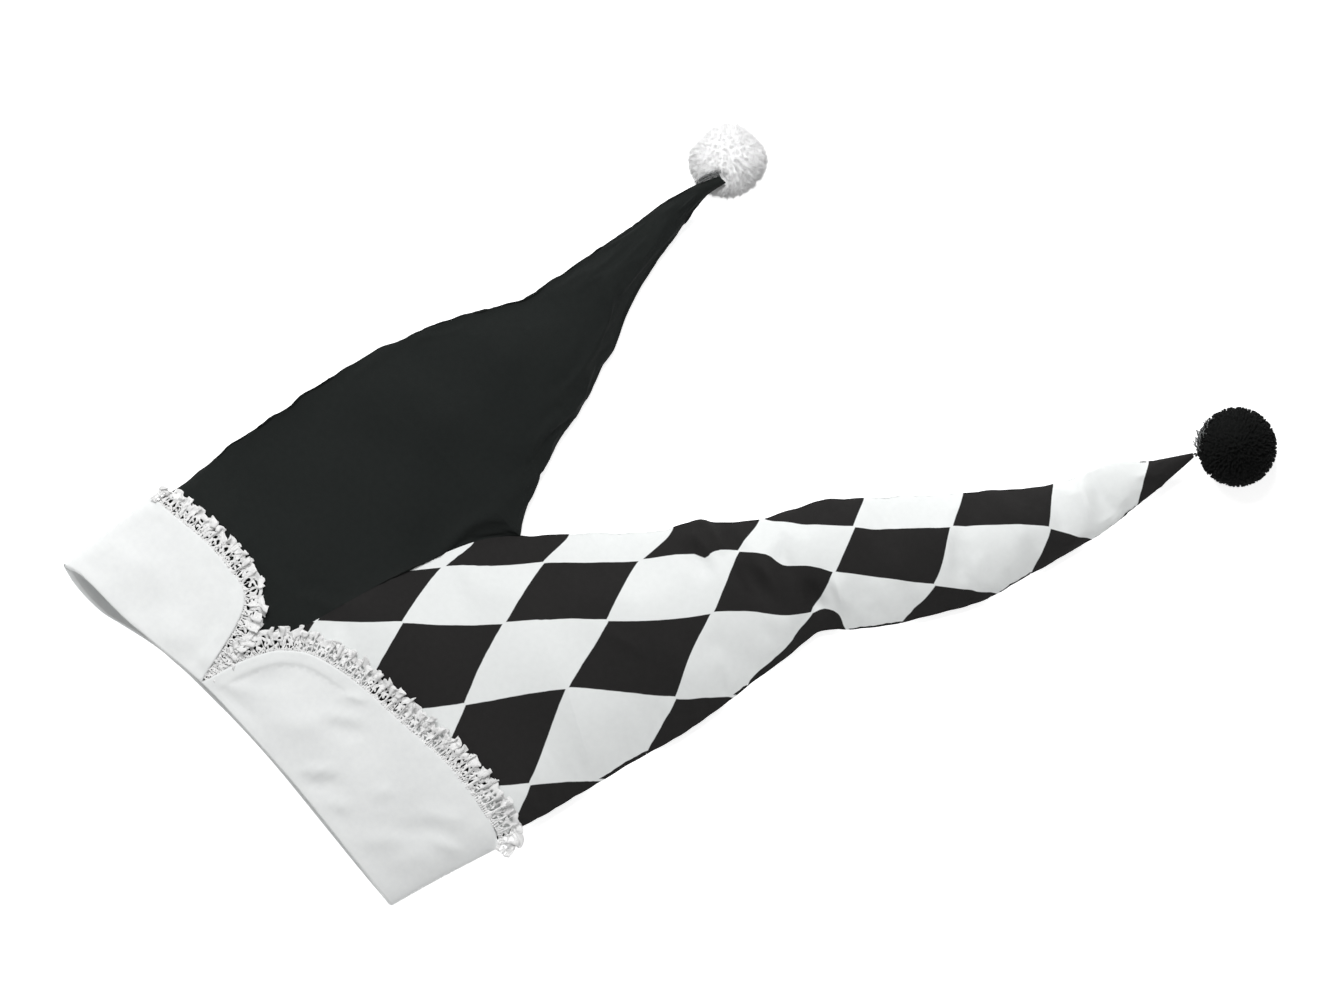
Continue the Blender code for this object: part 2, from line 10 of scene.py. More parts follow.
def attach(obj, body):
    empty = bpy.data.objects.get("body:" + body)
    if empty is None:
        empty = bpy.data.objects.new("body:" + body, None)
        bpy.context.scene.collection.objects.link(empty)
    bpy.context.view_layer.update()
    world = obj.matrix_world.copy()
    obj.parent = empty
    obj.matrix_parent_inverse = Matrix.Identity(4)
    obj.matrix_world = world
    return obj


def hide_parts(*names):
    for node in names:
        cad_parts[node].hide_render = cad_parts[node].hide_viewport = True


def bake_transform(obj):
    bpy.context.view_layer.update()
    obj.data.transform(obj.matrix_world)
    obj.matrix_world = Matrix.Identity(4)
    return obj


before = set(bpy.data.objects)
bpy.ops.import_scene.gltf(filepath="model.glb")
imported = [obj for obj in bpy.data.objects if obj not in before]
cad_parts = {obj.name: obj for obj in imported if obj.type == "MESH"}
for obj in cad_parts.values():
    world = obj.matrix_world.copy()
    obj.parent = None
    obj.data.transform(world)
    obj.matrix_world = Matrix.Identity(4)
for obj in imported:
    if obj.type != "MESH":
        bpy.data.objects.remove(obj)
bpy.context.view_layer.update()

# Sizes are in millimetres in the hat's plan, as in the part: u across the mouth, v up the hat.
CENTRE = np.array([91.3, 302.0, 0.0])
MM = 0.001

ROUND = 0.55
SAG = 0.5
RIM_WIDTH = 30.0
RIM_SHARE = 0.4
LOWEST = 0.6
CUFF_TOP = 92
CLOTH = 0.7
CREASE_GAIN = 1.35

# Where each half of the crown lies: outer side, inner seam, then base, seam, ridge, crest, lobe.
CENTRE_SEAM = [(-36.5, 14), (-27, 45), (-16, 84), (0, 145), (18.5, 195), (36, 219)]
BLACK_SIDE = [(-145, 8), (-140.5, 45), (-135, 84), (-129, 140), (-119.5, 196), (-115, 219)]
HARLEQUIN_SIDE = [(144, 8), (153, 45), (166, 84), (175, 115), (180, 136), (182, 145.6)]
CROWN_HEIGHTS = [
    (4.0, 14.0, 39.0, 34.0, 0.0),
    (4.0, 14.0, 39.0, 34.0, 0.0),
    (4.0, 13.5, 37.0, 33.0, 0.1),
    (0.6, 11.0, 30.0, 31.0, 0.4),
    (0.6, 9.5, 16.0, 29.0, 0.8),
    (0.6, 9.0, 9.0, 28.0, 1.0),
]

# A horn's direction, its two edges from the crotch to the tip, and its heights along it as
# distance, base, seam, crest.
HARLEQUIN_LEAN = math.radians(26.7)
BLACK_UP = (0.0, 1.0)
HARLEQUIN_UP = (math.sin(HARLEQUIN_LEAN), math.cos(HARLEQUIN_LEAN))
BLACK_OUTER = [
    (-115, 219), (-107, 246), (-91, 285), (-71, 322), (-64, 358), (-58, 391), (-53.5, 423),
    (-48, 447.5), (-42.5, 461), (-40, 466),
]
BLACK_INNER = [
    (36, 219), (27, 232), (19, 251), (8.5, 280), (5, 300), (-9, 342), (-24, 380),
    (-32, 415.5), (-36.8, 447), (-36, 458), (-34.5, 464.5),
]
HARLEQUIN_OUTER = [
    (182, 145.6), (190, 180), (199, 219.5), (203, 250), (207.6, 298.5), (211, 316), (226, 333),
    (241, 354), (264, 396), (276, 434.5), (287, 480), (291, 513), (293.2, 546), (293.6, 559.5),
]
HARLEQUIN_INNER = [
    (36, 219), (57, 242), (92.5, 282), (99, 291.5), (107, 307.5), (116, 314.5), (133, 335),
    (151, 370), (169, 392), (209, 438), (245, 484), (260, 519), (275, 536), (291.2, 560.7),
]
BLACK_HEIGHTS = [
    (219, 0.6, 9, 28), (246, 0.6, 9, 27.5), (285, 0.6, 8.5, 26), (322, 0.6, 8, 23),
    (358, 0.6, 7.5, 20.5), (391, 0.6, 7.5, 18), (423, 3, 9.5, 17.5), (447, 22, 27, 32),
    (460, 36, 39, 42.5), (467, 41.5, 42.7, 44),
]
HARLEQUIN_HEIGHTS = [
    (211, 0.6, 9, 28), (243, 0.6, 9, 27.5), (293, 0.6, 8.5, 25.5), (352, 0.6, 8, 22.5),
    (379, 0.6, 8, 22), (399, 0.6, 8, 21.5), (485, 0.6, 7.5, 21), (541, 2, 8.5, 19.5),
    (598, 8, 12, 18), (620, 15, 17, 20), (631.5, 19, 19.6, 20.4),
]

# The mouth's edges and the cuff's flaps, in plan.
CUFF_SIDE_LEFT = [(-149.7, -1), (-146, 35), (-142.3, 69)]
CUFF_SIDE_RIGHT = [(148.4, 0.5), (156.5, 32), (168.6, 74)]
FRONT_EDGE = [(-149.7, 0), (-136.5, 4), (-101, 5), (-82, 7), (-36, 12), (0, 12), (50, 10),
              (100, 5.5), (135, 2), (148.4, 0.5)]
BACK_EDGE = [(-149.7, -1), (-138.7, -3.6), (-127, -4.4), (-113, -3.6), (-102, -0.8),
             (-92.6, 1.6), (-81, 4.4), (-69.4, 6.6), (-58, 7.6), (-46, 8.6), (-20, 9.2), (-4, 9.5),
             (21, 9), (48, 7.4), (89, 4), (127, 1), (148.4, 0)]
BACK_TOP = [(-142.3, 69), (-100, 71.5), (0, 73), (100, 75), (168.6, 74)]
LEFT_FREE = [(-142.3, 69), (-122, 71), (-100, 74), (-74, 73), (-61, 71), (-52, 63.5), (-46, 50),
             (-41.5, 33), (-38, 18), (-36.3, 12)]
RIGHT_FREE = [(168.6, 74), (152.5, 82), (139, 85), (118, 87), (94, 86.5), (65, 84), (38, 82),
              (18, 79), (-1, 73), (-13, 64), (-21, 54), (-29, 36), (-33, 21), (-35.7, 12)]
NOTCH = (-36.0, 12.0)
# Where each flap's free corner folds: a point on the fold, and the fold's direction.
CORNER_FOLDS = {"left": ((-63.0, 49.0), (0.72, -0.694)), "right": ((-7.0, 48.0), (0.63, 0.776))}
CORNER_BEND = 10.0

# Lattice of the harlequin print: column, row, and where that corner lies.
PRINT_CORNERS = [
    (1, 0, 16, 171), (1, 1, 24, 128.5), (2, 0, 57, 219), (2, 1, 68.5, 174), (2, 2, 88, 121),
    (3, 0, 98, 264), (3, 1, 112, 222), (3, 2, 125, 174), (3, 3, 153, 115.5), (4, -1, 133, 336),
    (4, 0, 137, 312), (4, 1, 154, 272.5), (4, 2, 177, 219), (5, -1, 176.5, 374.5),
    (5, 0, 189, 346), (5, 1, 198, 318), (6, -1, 219, 419), (6, 0, 238, 386), (7, -1, 262, 463),
]
# Where its columns and its rows run out at an edge.
PRINT_COLUMN_ENDS = [
    (1, 18, 194), (2, 57, 241.5), (3, 99, 286), (4, 190, 180), (5, 169, 392), (6, 209, 438),
    (6, 241, 353), (7, 245, 484), (7, 275, 435), (8, 275.5, 536), (8, 290, 513), (1, 40, 75),
    (2, 105, 80), (0, -20, 122), (8.55, 293, 559), (5, 201, 296), (5, 202, 283), (5, 202, 259),
]
PRINT_ROW_ENDS = [
    (0, 0.4, 150.6), (1, -17, 86.5), (2, 60, 84), (3, 130, 88), (-1, 18, 219), (-1, 287.5, 479),
    (-1.9, 275, 537.4), (-1.5, 293, 559), (-1.85, 258, 512), (-1.9, 266, 526),
    (1, 201, 325), (1, 211, 330), (1, 219, 327), (0, 118.6, 289.5), (0, 127, 292.6),
    (0, 127.3, 300.4), (0, 152, 323.6), (0, 163.7, 326.5), (0, 174.7, 337),
]

WHITE_POMPOM = np.array((-44.0, 476.8, 25.0))
WHITE_RADII = np.array((25.6, 25.6, 24.8))
BLACK_POMPOM = np.array((307.4, 582.9, 25.0))
WHITE_TIP = np.array((-38.6, 465.0, 38.0))
BLACK_TIP = np.array((293.0, 560.6, 20.0))
TIP_RADIUS = 1.15


# --- small helpers


def metres(points):
    return (np.asarray(points, float) - CENTRE) * MM


def unit_rows(rows):
    return rows / np.maximum(np.linalg.norm(rows, axis=1, keepdims=True), 1e-9)


def step_down(x):
    x = np.clip(x, 0, 1)
    return x * x * (3 - 2 * x)


def spline(points, s):
    """Points on a smooth curve through the given rows; s counts rows from 0."""
    p = np.asarray(points, float)
    s = np.clip(np.asarray(s, float), 0, len(p) - 1)
    k = np.minimum(s.astype(int), len(p) - 2)
    x = (s - k)[..., None]
    a, b, c, d = p[np.maximum(k - 1, 0)], p[k], p[k + 1], p[np.minimum(k + 2, len(p) - 1)]
    return b + 0.5 * x * (c - a + x * (2 * a - 5 * b + 4 * c - d + x * (3 * (b - c) + d - a)))


def dense(points, steps=24):
    return spline(points, np.linspace(0, len(points) - 1, steps * (len(points) - 1) + 1))


def distances_along(curve):
    return np.concatenate([[0], np.cumsum(np.linalg.norm(np.diff(curve, axis=0), axis=1))])


def at_distances(s, length, rows):
    return np.stack([np.interp(s, length, column) for column in rows.T], axis=1)


def resampled(points, spacing):
    """The smooth curve through points, cut at even distances close to spacing."""
    curve = dense(points)
    length = distances_along(curve)
    count = max(2, int(round(length[-1] / spacing)) + 1)
    return at_distances(np.linspace(0, length[-1], count), length, curve)


def through(points):
    """A smooth function of one number through (x, y...) rows with rising x."""
    curve = dense(points)
    x = np.maximum.accumulate(curve[:, 0])

    def value(at):
        got = [np.interp(at, x, column) for column in curve[:, 1:].T]
        return got[0] if len(got) == 1 else np.stack(got, axis=-1)

    return value


def waves(u, v, wavelength, seed, count=7):
    """A gentle random swell, about -1 to 1."""
    rng = np.random.default_rng(seed)
    total = 0.0
    for _ in range(count):
        angle = rng.uniform(0, math.pi)
        k = 2 * math.pi / (wavelength * rng.uniform(0.7, 1.5))
        total = total + np.sin(k * (u * math.cos(angle) + v * math.sin(angle)) + rng.uniform(0, 6.28))
    return total / math.sqrt(count)


def grid_faces(rows, columns):
    r, c = np.meshgrid(np.arange(rows - 1), np.arange(columns - 1), indexing="ij")
    a = (r * columns + c).ravel()
    return np.stack([a, a + 1, a + columns + 1, a + columns], axis=1)


def only_used(faces):
    """The points that some faces use, and those faces numbered within them."""
    used = np.unique(np.concatenate([np.asarray(f) for f in faces]))
    new = dict(zip(used.tolist(), range(len(used))))
    return used, [tuple(new[int(i)] for i in f) for f in faces]


def shaded_by(obj, normals):
    """Shades a mesh by the given normals, one for each of its points."""
    obj.data.normals_split_custom_set_from_vertices(unit_rows(normals).tolist())
    return obj


def add_to_scene(name, data):
    obj = bpy.data.objects.new(name, data)
    bpy.context.scene.collection.objects.link(obj)
    return obj


def make_object(name, points, faces, material, maps):
    """A mesh object from points in millimetres in the plan. maps are UV maps given per point."""
    mesh = bpy.data.meshes.new(name)
    mesh.from_pydata(metres(points).tolist(), [], [[int(i) for i in f] for f in faces])
    mesh.materials.append(material)
    corner = np.empty(len(mesh.loops), dtype=np.int64)
    mesh.loops.foreach_get("vertex_index", corner)
    for key, values in maps.items():
        layer = mesh.uv_layers.new(name=key)
        layer.data.foreach_set("uv", np.asarray(values, np.float32)[corner].ravel())
    mesh.shade_smooth()
    return add_to_scene(name, mesh)


def mesh_normals(points, faces):
    """Normals at points of a mesh of triangles and quads, weighted by area."""
    normal = np.zeros_like(points)
    for size in (3, 4):
        part = np.array([f for f in faces if len(f) == size])
        if len(part):
            p = [points[part[:, i]] for i in range(size)]
            across = np.cross(p[2] - p[0], p[3] - p[1]) if size == 4 else np.cross(p[1] - p[0], p[2] - p[0])
            for i in range(size):
                np.add.at(normal, part[:, i], across)
    return unit_rows(normal)


def shell(points, normals, faces, thickness):
    """Gives a sheet its thickness on its inner side: points, normals and faces of a closed body."""
    count = len(points)
    inner = points - normals * thickness
    faces = [tuple(int(i) for i in f) for f in faces]
    edges = {(a, b) for f in faces for a, b in zip(f, f[1:] + f[:1])}
    rims = [(b, a, a + count, b + count) for a, b in sorted(edges) if (b, a) not in edges]
    backs = [tuple(i + count for i in reversed(f)) for f in faces]
    return np.vstack([points, inner]), np.vstack([normals, -normals]), faces + backs + rims


def thick_object(name, points, normals, faces, thickness, material, maps):
    """A cloth piece whose shading follows the given normals, so that it meets its neighbour."""
    used, faces = only_used(faces)
    thickness = np.broadcast_to(thickness, (len(points), 1))[used]
    body, body_normals, body_faces = shell(points[used], normals[used], faces, thickness)
    doubled = {key: np.vstack([np.asarray(m)[used]] * 2) for key, m in maps.items()}
    return shaded_by(make_object(name, body, body_faces, material, doubled), body_normals)


# --- the hat's surfaces


def front_height(s, t):
    seam, ridge, crest, lobe = (s[:, i:i + 1] for i in range(5, 9))
    t = t ** (1 + SAG * np.clip((s[:, 1:2] - 90) / 60, 0, 1) * (1 - 0.6 * lobe))
    dome = seam + (ridge - seam) * np.sin(np.pi * t / 2) ** ROUND
    line = seam + (ridge - seam) * t
    arch = (crest - (seam + ridge) / 2) * np.abs(np.sin(np.pi * t)) ** ROUND
    return (1 - lobe) * dome + lobe * (line + arch)


def back_height(s, t):
    base, seam, lobe = (s[:, i:i + 1] for i in (4, 5, 8))
    width = np.hypot(s[:, 2:3] - s[:, 0:1], s[:, 3:4] - s[:, 1:2])
    rim = np.minimum(RIM_WIDTH / width, RIM_SHARE)
    near_outer = np.maximum(0.0, 1 - t / rim) ** 3
    near_inner = np.maximum(0.0, 1 - (1 - t) / rim) ** 3
    return base + (seam - base) * (near_outer + lobe * near_inner)


def horn_stations(up, outer, inner, heights, distances):
    up = np.array(up)
    across = np.array([up[1], -up[0]])
    edges = []
    for edge in (outer, inner):
        aside = through([(np.dot(p, up), np.dot(p, across)) for p in edge])(distances)
        edges.append(np.outer(distances, up) + np.outer(aside, across))
    base, seam, crest = through(heights)(distances).T
    return np.column_stack([*edges, np.maximum(base, LOWEST), seam, seam, crest, np.ones(len(seam))])


COLUMNS = (1 - np.cos(np.pi * np.linspace(0, 1, 57))) / 2
# The cloth's broad swells and its finer ripple near the seams: height and wavelength.
SWELL = (1.1, 62)
RIPPLE = (0.33, 23)
# No cloth lies lower than this above the table.
CLEARANCE = 0.5


# Rows on each side of where crown and horn meet whose heights are smoothed together.
JOIN_ROWS = 22
JOIN_FADE = 16


def half_stations(side, up, outer, inner, heights, first, last):
    """All stations of one half of the hat, mouth to tip, and how many belong to the crown."""
    crown = [(*a, *b, *h) for a, b, h in zip(side, CENTRE_SEAM, CROWN_HEIGHTS)]
    crown = spline(crown, np.linspace(0, 5, 76))[:-1]
    crown[:, 4] = np.maximum(crown[:, 4], LOWEST)
    horn = horn_stations(up, outer, inner, heights, np.linspace(first, last, int((last - first) / 2.7)))
    stations, count = np.vstack([crown, horn]), len(crown)
    for _ in range(3):
        part = stations[count - JOIN_ROWS:count + JOIN_ROWS, 4:]
        smooth = np.array([np.convolve(column, np.ones(9) / 9, "same") for column in part.T]).T
        near = step_down(1 - np.abs(np.arange(len(part)) - JOIN_ROWS) / JOIN_FADE)[:, None]
        stations[count - JOIN_ROWS:count + JOIN_ROWS, 4:] = part + (smooth - part) * near
    return stations, count


def edge_pucker(stations, seed):
    """Small scallops where the seams' stitching draws the cloth in."""
    for i, outwards in ((0, 1), (1, -1)):
        edge = stations[:, 2 * i:2 * i + 2]
        along = distances_along(edge)
        across = stations[:, 0:2] - stations[:, 2:4]
        fade = np.clip(np.linalg.norm(across, axis=1) / 60, 0, 1)
        if i == 1:
            fade = fade * np.clip((stations[:, 8] - 0.9) * 10, 0, 1)
        small = 0.35 * np.abs(np.sin(along / 5.2 + 0.8 * np.sin(along / 17)))
        large = 0.55 * waves(along, 0 * along, 34, seed + i)
        edge += unit_rows(across) * ((small + large) * fade * outwards)[:, None]
    return stations


def creased(points, creases):
    """Raises soft ridges and presses valleys: each crease is u0, v0, u1, v1, width, height."""
    p = points.reshape(-1, 3)
    rise = np.zeros(len(p))
    slide = np.zeros((len(p), 2))
    for u0, v0, u1, v1, width, height in creases:
        d = np.array([u1 - u0, v1 - v0])
        length = np.linalg.norm(d)
        d = d / length
        across = np.array([-d[1], d[0]])
        q = p[:, :2] - (u0, v0)
        along, side = q @ d, q @ across / width
        end = step_down(np.minimum(along, length - along) / (0.45 * length) + 0.12)
        bump = np.exp(-(side ** 2)) * end
        rise += height * bump
        slide -= (0.35 * height * side * bump)[:, None] * across
    p[:, 2] += rise
    p[:, :2] += slide
    return p.reshape(points.shape)


def half_skin(stations, seed, creases):
    """The cloth of one half as one open grid: front from the inner edge out, back the other way."""
    t = COLUMNS[None, :]
    u = stations[:, 0:1] + (stations[:, 2:3] - stations[:, 0:1]) * t
    v = stations[:, 1:2] + (stations[:, 3:4] - stations[:, 1:2]) * t
    front = np.stack([u, v, front_height(stations, t)], axis=2)[:, ::-1]
    back = np.stack([u, v, back_height(stations, t)], axis=2)[:, 1:]
    flat = np.concatenate([front[..., :2], back[..., :2]], axis=1)

    open_part = np.clip((v[:, ::-1] - 80) / 40, 0, 1)
    width = np.linalg.norm(stations[:, 0:2] - stations[:, 2:4], axis=1)[:, None]
    inside = np.minimum(t * width, (1 - t) * width)[:, ::-1]
    inside = inside + (1 - np.clip(stations[:, 8:9] * 1.2, 0, 1)) * (t[:, ::-1] * width)
    fade = (1 - np.exp(-inside / 14)) * np.clip(width / 110, 0.15, 1) * open_part
    swell = SWELL[0] * waves(front[..., 0], front[..., 1], SWELL[1], seed)
    ripple = RIPPLE[0] * waves(front[..., 0], front[..., 1], RIPPLE[1], seed + 5) * np.exp(-inside / 30)
    front[..., 2] += (swell + ripple) * fade
    front = creased(front, [(*line[:5], line[5] * CREASE_GAIN) for line in creases])
    rows = np.concatenate([front, back], axis=1)
    rows[..., 2] = np.maximum(rows[..., 2], CLEARANCE)
    return rows, flat


def join_inner_edge(rows, crown_count):
    """Faces of the skin's grid, closed along the horn's inner seam, and the grid's points."""
    count, columns = rows.shape[:2]
    points = rows.reshape(-1, 3)
    first = np.arange(crown_count, count) * columns
    last = first + columns - 1
    points[first] = (points[first] + points[last]) / 2
    points[last] = points[first]
    swap = dict(zip(last.tolist(), first.tolist()))
    return points, [tuple(swap.get(i, i) for i in f) for f in grid_faces(count, columns).tolist()]


def settled(name, points, faces, pinned, growth, pressure, cap, frames=14, scale=0.01):
    """Lets cloth find its own creases: the sheet grows a little between its pinned seams."""
    used, loops = only_used(faces)
    start = points[used]
    mesh = bpy.data.meshes.new(name + "_sim")
    mesh.from_pydata((start * scale).tolist(), [], loops)
    obj = add_to_scene(name + "_sim", mesh)
    group = obj.vertex_groups.new(name="pin")
    group.add([int(i) for i in np.nonzero(pinned[used])[0]], 1.0, "REPLACE")
    cloth = obj.modifiers.new("Cloth", "CLOTH")
    for key, value in {
        "quality": 5, "mass": 0.3, "tension_stiffness": 15, "compression_stiffness": 15,
        "shear_stiffness": 5, "bending_stiffness": 0.6, "vertex_group_mass": "pin",
        "shrink_min": -growth, "shrink_max": -growth, "use_pressure": True,
        "uniform_pressure_force": pressure,
    }.items():
        setattr(cloth.settings, key, value)
    cloth.settings.effector_weights.gravity = 0
    cloth.collision_settings.use_collision = False
    cloth.point_cache.frame_start = 1
    cloth.point_cache.frame_end = frames
    for frame_number in range(1, frames + 1):
        bpy.context.scene.frame_set(frame_number)
    result = obj.evaluated_get(bpy.context.evaluated_depsgraph_get()).to_mesh()
    found = np.empty(len(result.vertices) * 3)
    result.vertices.foreach_get("co", found)
    bpy.context.scene.frame_set(1)
    bpy.data.objects.remove(obj, do_unlink=True)
    move = found.reshape(-1, 3) / scale - start
    far = np.linalg.norm(move, axis=1, keepdims=True)
    done = points.copy()
    done[used] = start + move * (cap * np.tanh(far / cap) / np.maximum(far, 1e-9))
    return done


# --- materials


class Nodes:
    """Builds a material's nodes with short calls."""

    def __init__(self, name, roughness, sheen=0.0):
        self.material = bpy.data.materials.new(name)
        self.material.use_nodes = True
        self.tree = self.material.node_tree
        self.shader = self.tree.nodes["Principled BSDF"]
        self.shade("Roughness", roughness)
        self.shade("Specular IOR Level", 0.16)
        if sheen:
            self.shade("Sheen Weight", sheen)
            self.shade("Sheen Roughness", 0.6)

    def put(self, socket, value):
        if isinstance(value, bpy.types.NodeSocket):
            self.tree.links.new(value, socket)
        elif socket.type == "RGBA":
            socket.default_value = (*value, 1.0)
        else:
            socket.default_value = value

    def shade(self, key, value):
        self.put(self.shader.inputs[key], value)

    def add(self, kind, values, **settings):
        node = self.tree.nodes.new(kind)
        for key, value in settings.items():
            setattr(node, key, value)
        for key, value in values.items():
            self.put(node.inputs[key], value)
        return node

    def math(self, operation, a, b=0.0):
        return self.add("ShaderNodeMath", {0: a, 1: b}, operation=operation).outputs[0]

    def vector_math(self, operation, a, b):
        return self.add("ShaderNodeVectorMath", {0: a, 1: b}, operation=operation).outputs[0]

    def split(self, vector):
        return self.add("ShaderNodeSeparateXYZ", {0: vector}).outputs

    def uv(self, name):
        return self.add("ShaderNodeUVMap", {}, uv_map=name).outputs[0]

    def noise(self, vector, scale, detail=2.0, output="Fac"):
        values = {"Vector": vector, "Scale": scale, "Detail": detail}
        return self.add("ShaderNodeTexNoise", values).outputs[output]

    def ramp(self, value, low, high, out_low=0.0, out_high=1.0):
        values = {0: value, 1: low, 2: high, 3: out_low, 4: out_high}
        return self.add("ShaderNodeMapRange", values).outputs[0]

    def mix(self, factor, a, b):
        return self.add("ShaderNodeMix", {0: factor, 6: a, 7: b}, data_type="RGBA").outputs[2]

    def weave(self, vector, pitch):
        """Height of a plain weave with threads pitch apart, 0 to 1, in a map kept in metres."""
        turn = 2 * math.pi / pitch
        x, y = (self.math("SINE", self.math("MULTIPLY", part, turn)) for part in self.split(vector)[:2])
        return self.math("MULTIPLY_ADD", self.math("MULTIPLY", x, y), 0.5)

    def finish(self, colour, height=None, strength=0.4, distance=0.0002):
        self.shade("Base Color", colour)
        if height is not None:
            values = {"Strength": strength, "Distance": distance, "Height": height}
            self.shade("Normal", self.add("ShaderNodeBump", values).outputs[0])
        return self.material


def diamonds(n, cloth):
    """Where the print is black: every other diamond of the print map, with a thin white gap."""
    wobble = n.vector_math("SUBTRACT", n.noise(cloth, 90.0, output="Color"), (0.5, 0.5, 0.5))
    place = n.vector_math("ADD", n.uv("print"), n.vector_math("MULTIPLY", wobble, (0.012, 0.012, 0.0)))
    edge, parity = [], []
    for value in n.split(place)[:2]:
        part = n.math("FRACT", value)
        edge.append(n.math("SUBTRACT", 0.5, n.math("ABSOLUTE", n.math("SUBTRACT", part, 0.5))))
        parity.append(n.math("FLOOR", value))
    odd = n.math("FLOORED_MODULO", n.math("ADD", *parity), 2.0)
    inside = n.ramp(n.math("MINIMUM", *edge), 0.009, 0.017)
    return n.math("MULTIPLY", n.math("SUBTRACT", 1.0, odd), inside)


def woven(name, light, dark, pitch=0.0006, strength=0.35):
    """Woven cloth whose threads vary a little in shade, with fuzz. A second colour is a print."""
    n = Nodes(name, 0.88)
    cloth = n.uv("cloth")
    threads = n.weave(cloth, pitch)
    fuzz, slub, patch = (n.noise(cloth, scale, 3) for scale in (1400, 260, 16))
    shade = n.ramp(n.math("ADD", n.math("MULTIPLY", patch, 0.5), n.math("MULTIPLY", slub, 0.5)), 0.3, 0.7)
    colours = [n.mix(shade, low, high) for low, high in zip(dark, light)]
    colour = colours[0] if len(colours) == 1 else n.mix(diamonds(n, cloth), *colours)
    height = n.math("ADD", n.math("MULTIPLY", threads, 0.6), n.math("MULTIPLY", fuzz, 0.6))
    n.shade("Roughness", n.ramp(fuzz, 0.3, 0.7, 0.8, 0.96))
    return n.finish(colour, height, strength)


def fibre(name, light, dark, rough, sheen, scale=900):
    n = Nodes(name, rough, sheen)
    vector = n.uv("strand")
    colour = n.mix(n.ramp(n.noise(vector, scale), 0.3, 0.7), dark, light)
    return n.finish(colour, n.noise(vector, scale * 3), 0.3, 0.0001)


def make_materials():
    """Materials, with the lighter and the darker shade that each one varies between."""
    return {
        "black_cloth": woven("black_cloth", [(0.0130, 0.0152, 0.0144)], [(0.0100, 0.0120, 0.0114)]),
        "harlequin_cloth": woven("harlequin_cloth", [(0.82, 0.84, 0.835), (0.0200, 0.0192, 0.0190)],
                                 [(0.77, 0.79, 0.785), (0.0160, 0.0154, 0.0152)]),
        "white_cloth": woven("white_cloth", [(0.83, 0.845, 0.84)], [(0.77, 0.785, 0.785)],
                             pitch=0.0007, strength=0.3),
        "lace": fibre("lace", (0.86, 0.86, 0.855), (0.76, 0.76, 0.76), 0.8, 0.1),
        "white_yarn": fibre("white_yarn", (0.96, 0.96, 0.96), (0.92, 0.925, 0.925), 0.95, 0.5),
        "black_yarn": fibre("black_yarn", (0.0078, 0.0084, 0.0081), (0.0028, 0.0030, 0.0029), 0.9, 0.0),
        "thread": fibre("thread", (0.12, 0.125, 0.125), (0.05, 0.05, 0.05), 0.45, 0.1),
        # This glossy material's grey, far lighter than the black yarn, is a painted glint on the black
        # pompom's loose strands; the white pompom's tie thread uses it too.
        "gloss_and_painted_glint": fibre("gloss_and_painted_glint", (0.22, 0.23, 0.23), (0.04, 0.042, 0.042), 0.18, 0.0),
    }


# --- crown and horns


def thin_plate(known, values):
    """A smooth function of the plan through values at known places."""
    known = np.asarray(known, float) / 100

    def kernel(q):
        far = np.linalg.norm(q[:, None] - known[None], axis=2)
        return np.where(far > 0, far ** 2 * np.log(np.maximum(far, 1e-9)), 0)

    flat = np.hstack([np.ones((len(known), 1)), known])
    system = np.block([[kernel(known) + 1e-4 * np.eye(len(known)), flat], [flat.T, np.zeros((3, 3))]])
    solved = np.linalg.solve(system, np.concatenate([values, np.zeros(3)]))

    def value(points):
        q = np.asarray(points, float) / 100
        return kernel(q) @ solved[:-3] + solved[-3] + q @ solved[-2:]

    return value


def print_map(plan):
    """Where each place lies on the print, in diamonds."""
    columns = [(u, v, i) for i, _, u, v in PRINT_CORNERS] + [(u, v, i) for i, u, v in PRINT_COLUMN_ENDS]
    rows = [(u, v, j) for _, j, u, v in PRINT_CORNERS] + [(u, v, j) for j, u, v in PRINT_ROW_ENDS]
    tables = np.array(columns, float), np.array(rows, float)
    return np.stack([thin_plate(t[:, :2], t[:, 2])(plan) + 20 for t in tables], axis=1)


BLACK_CREASES = [
    (-60, 330, -10, 300, 9, 1.6), (-66, 300, -20, 262, 12, 1.4), (-52, 380, -26, 352, 6, 1.2),
    (-90, 250, -30, 225, 14, 1.6), (-120, 180, -60, 160, 14, 1.2), (-20, 240, 14, 246, 5, -1.4),
    (-48, 425, -34, 410, 4, 0.8), (-60, 200, -5, 170, 16, 1.3),
]
HARLEQUIN_CREASES = [
    (104, 300, 128, 298, 3.6, 2.6), (112, 312, 134, 303, 3.4, 2.8), (108, 290, 140, 288, 5, -2.4),
    (118, 318, 142, 310, 3.2, -2.0), (139, 307, 172, 301, 5.5, -3.4), (146, 318, 182, 311, 5, 2.6),
    (150, 330, 176, 326, 5, -1.6), (206, 320, 180, 331, 4.5, -4.0), (214, 334, 188, 346, 6, 3.4),
    (222, 350, 196, 360, 5, -1.8), (204, 302, 172, 297, 8, 1.8), (104, 214, 150, 226, 3.5, 1.2),
    (236, 462, 262, 440, 6, 2.2), (248, 484, 276, 462, 5, -2.2), (250, 500, 280, 482, 5, 2.2),
    (262, 500, 284, 500, 4, -1.4), (206, 426, 244, 392, 7, 1.8), (222, 418, 252, 398, 4, -1.6),
    (60, 236, 100, 190, 9, 1.4), (170, 150, 120, 190, 10, 1.4), (185, 230, 140, 240, 9, 1.4),
    (192, 262, 160, 262, 8, -1.2), (190, 356, 222, 356, 6, 1.4), (228, 372, 204, 384, 6, 1.8),
    (160, 382, 196, 372, 7, 1.3), (240, 420, 262, 404, 6, 1.6), (266, 452, 282, 446, 5, 1.4),
]


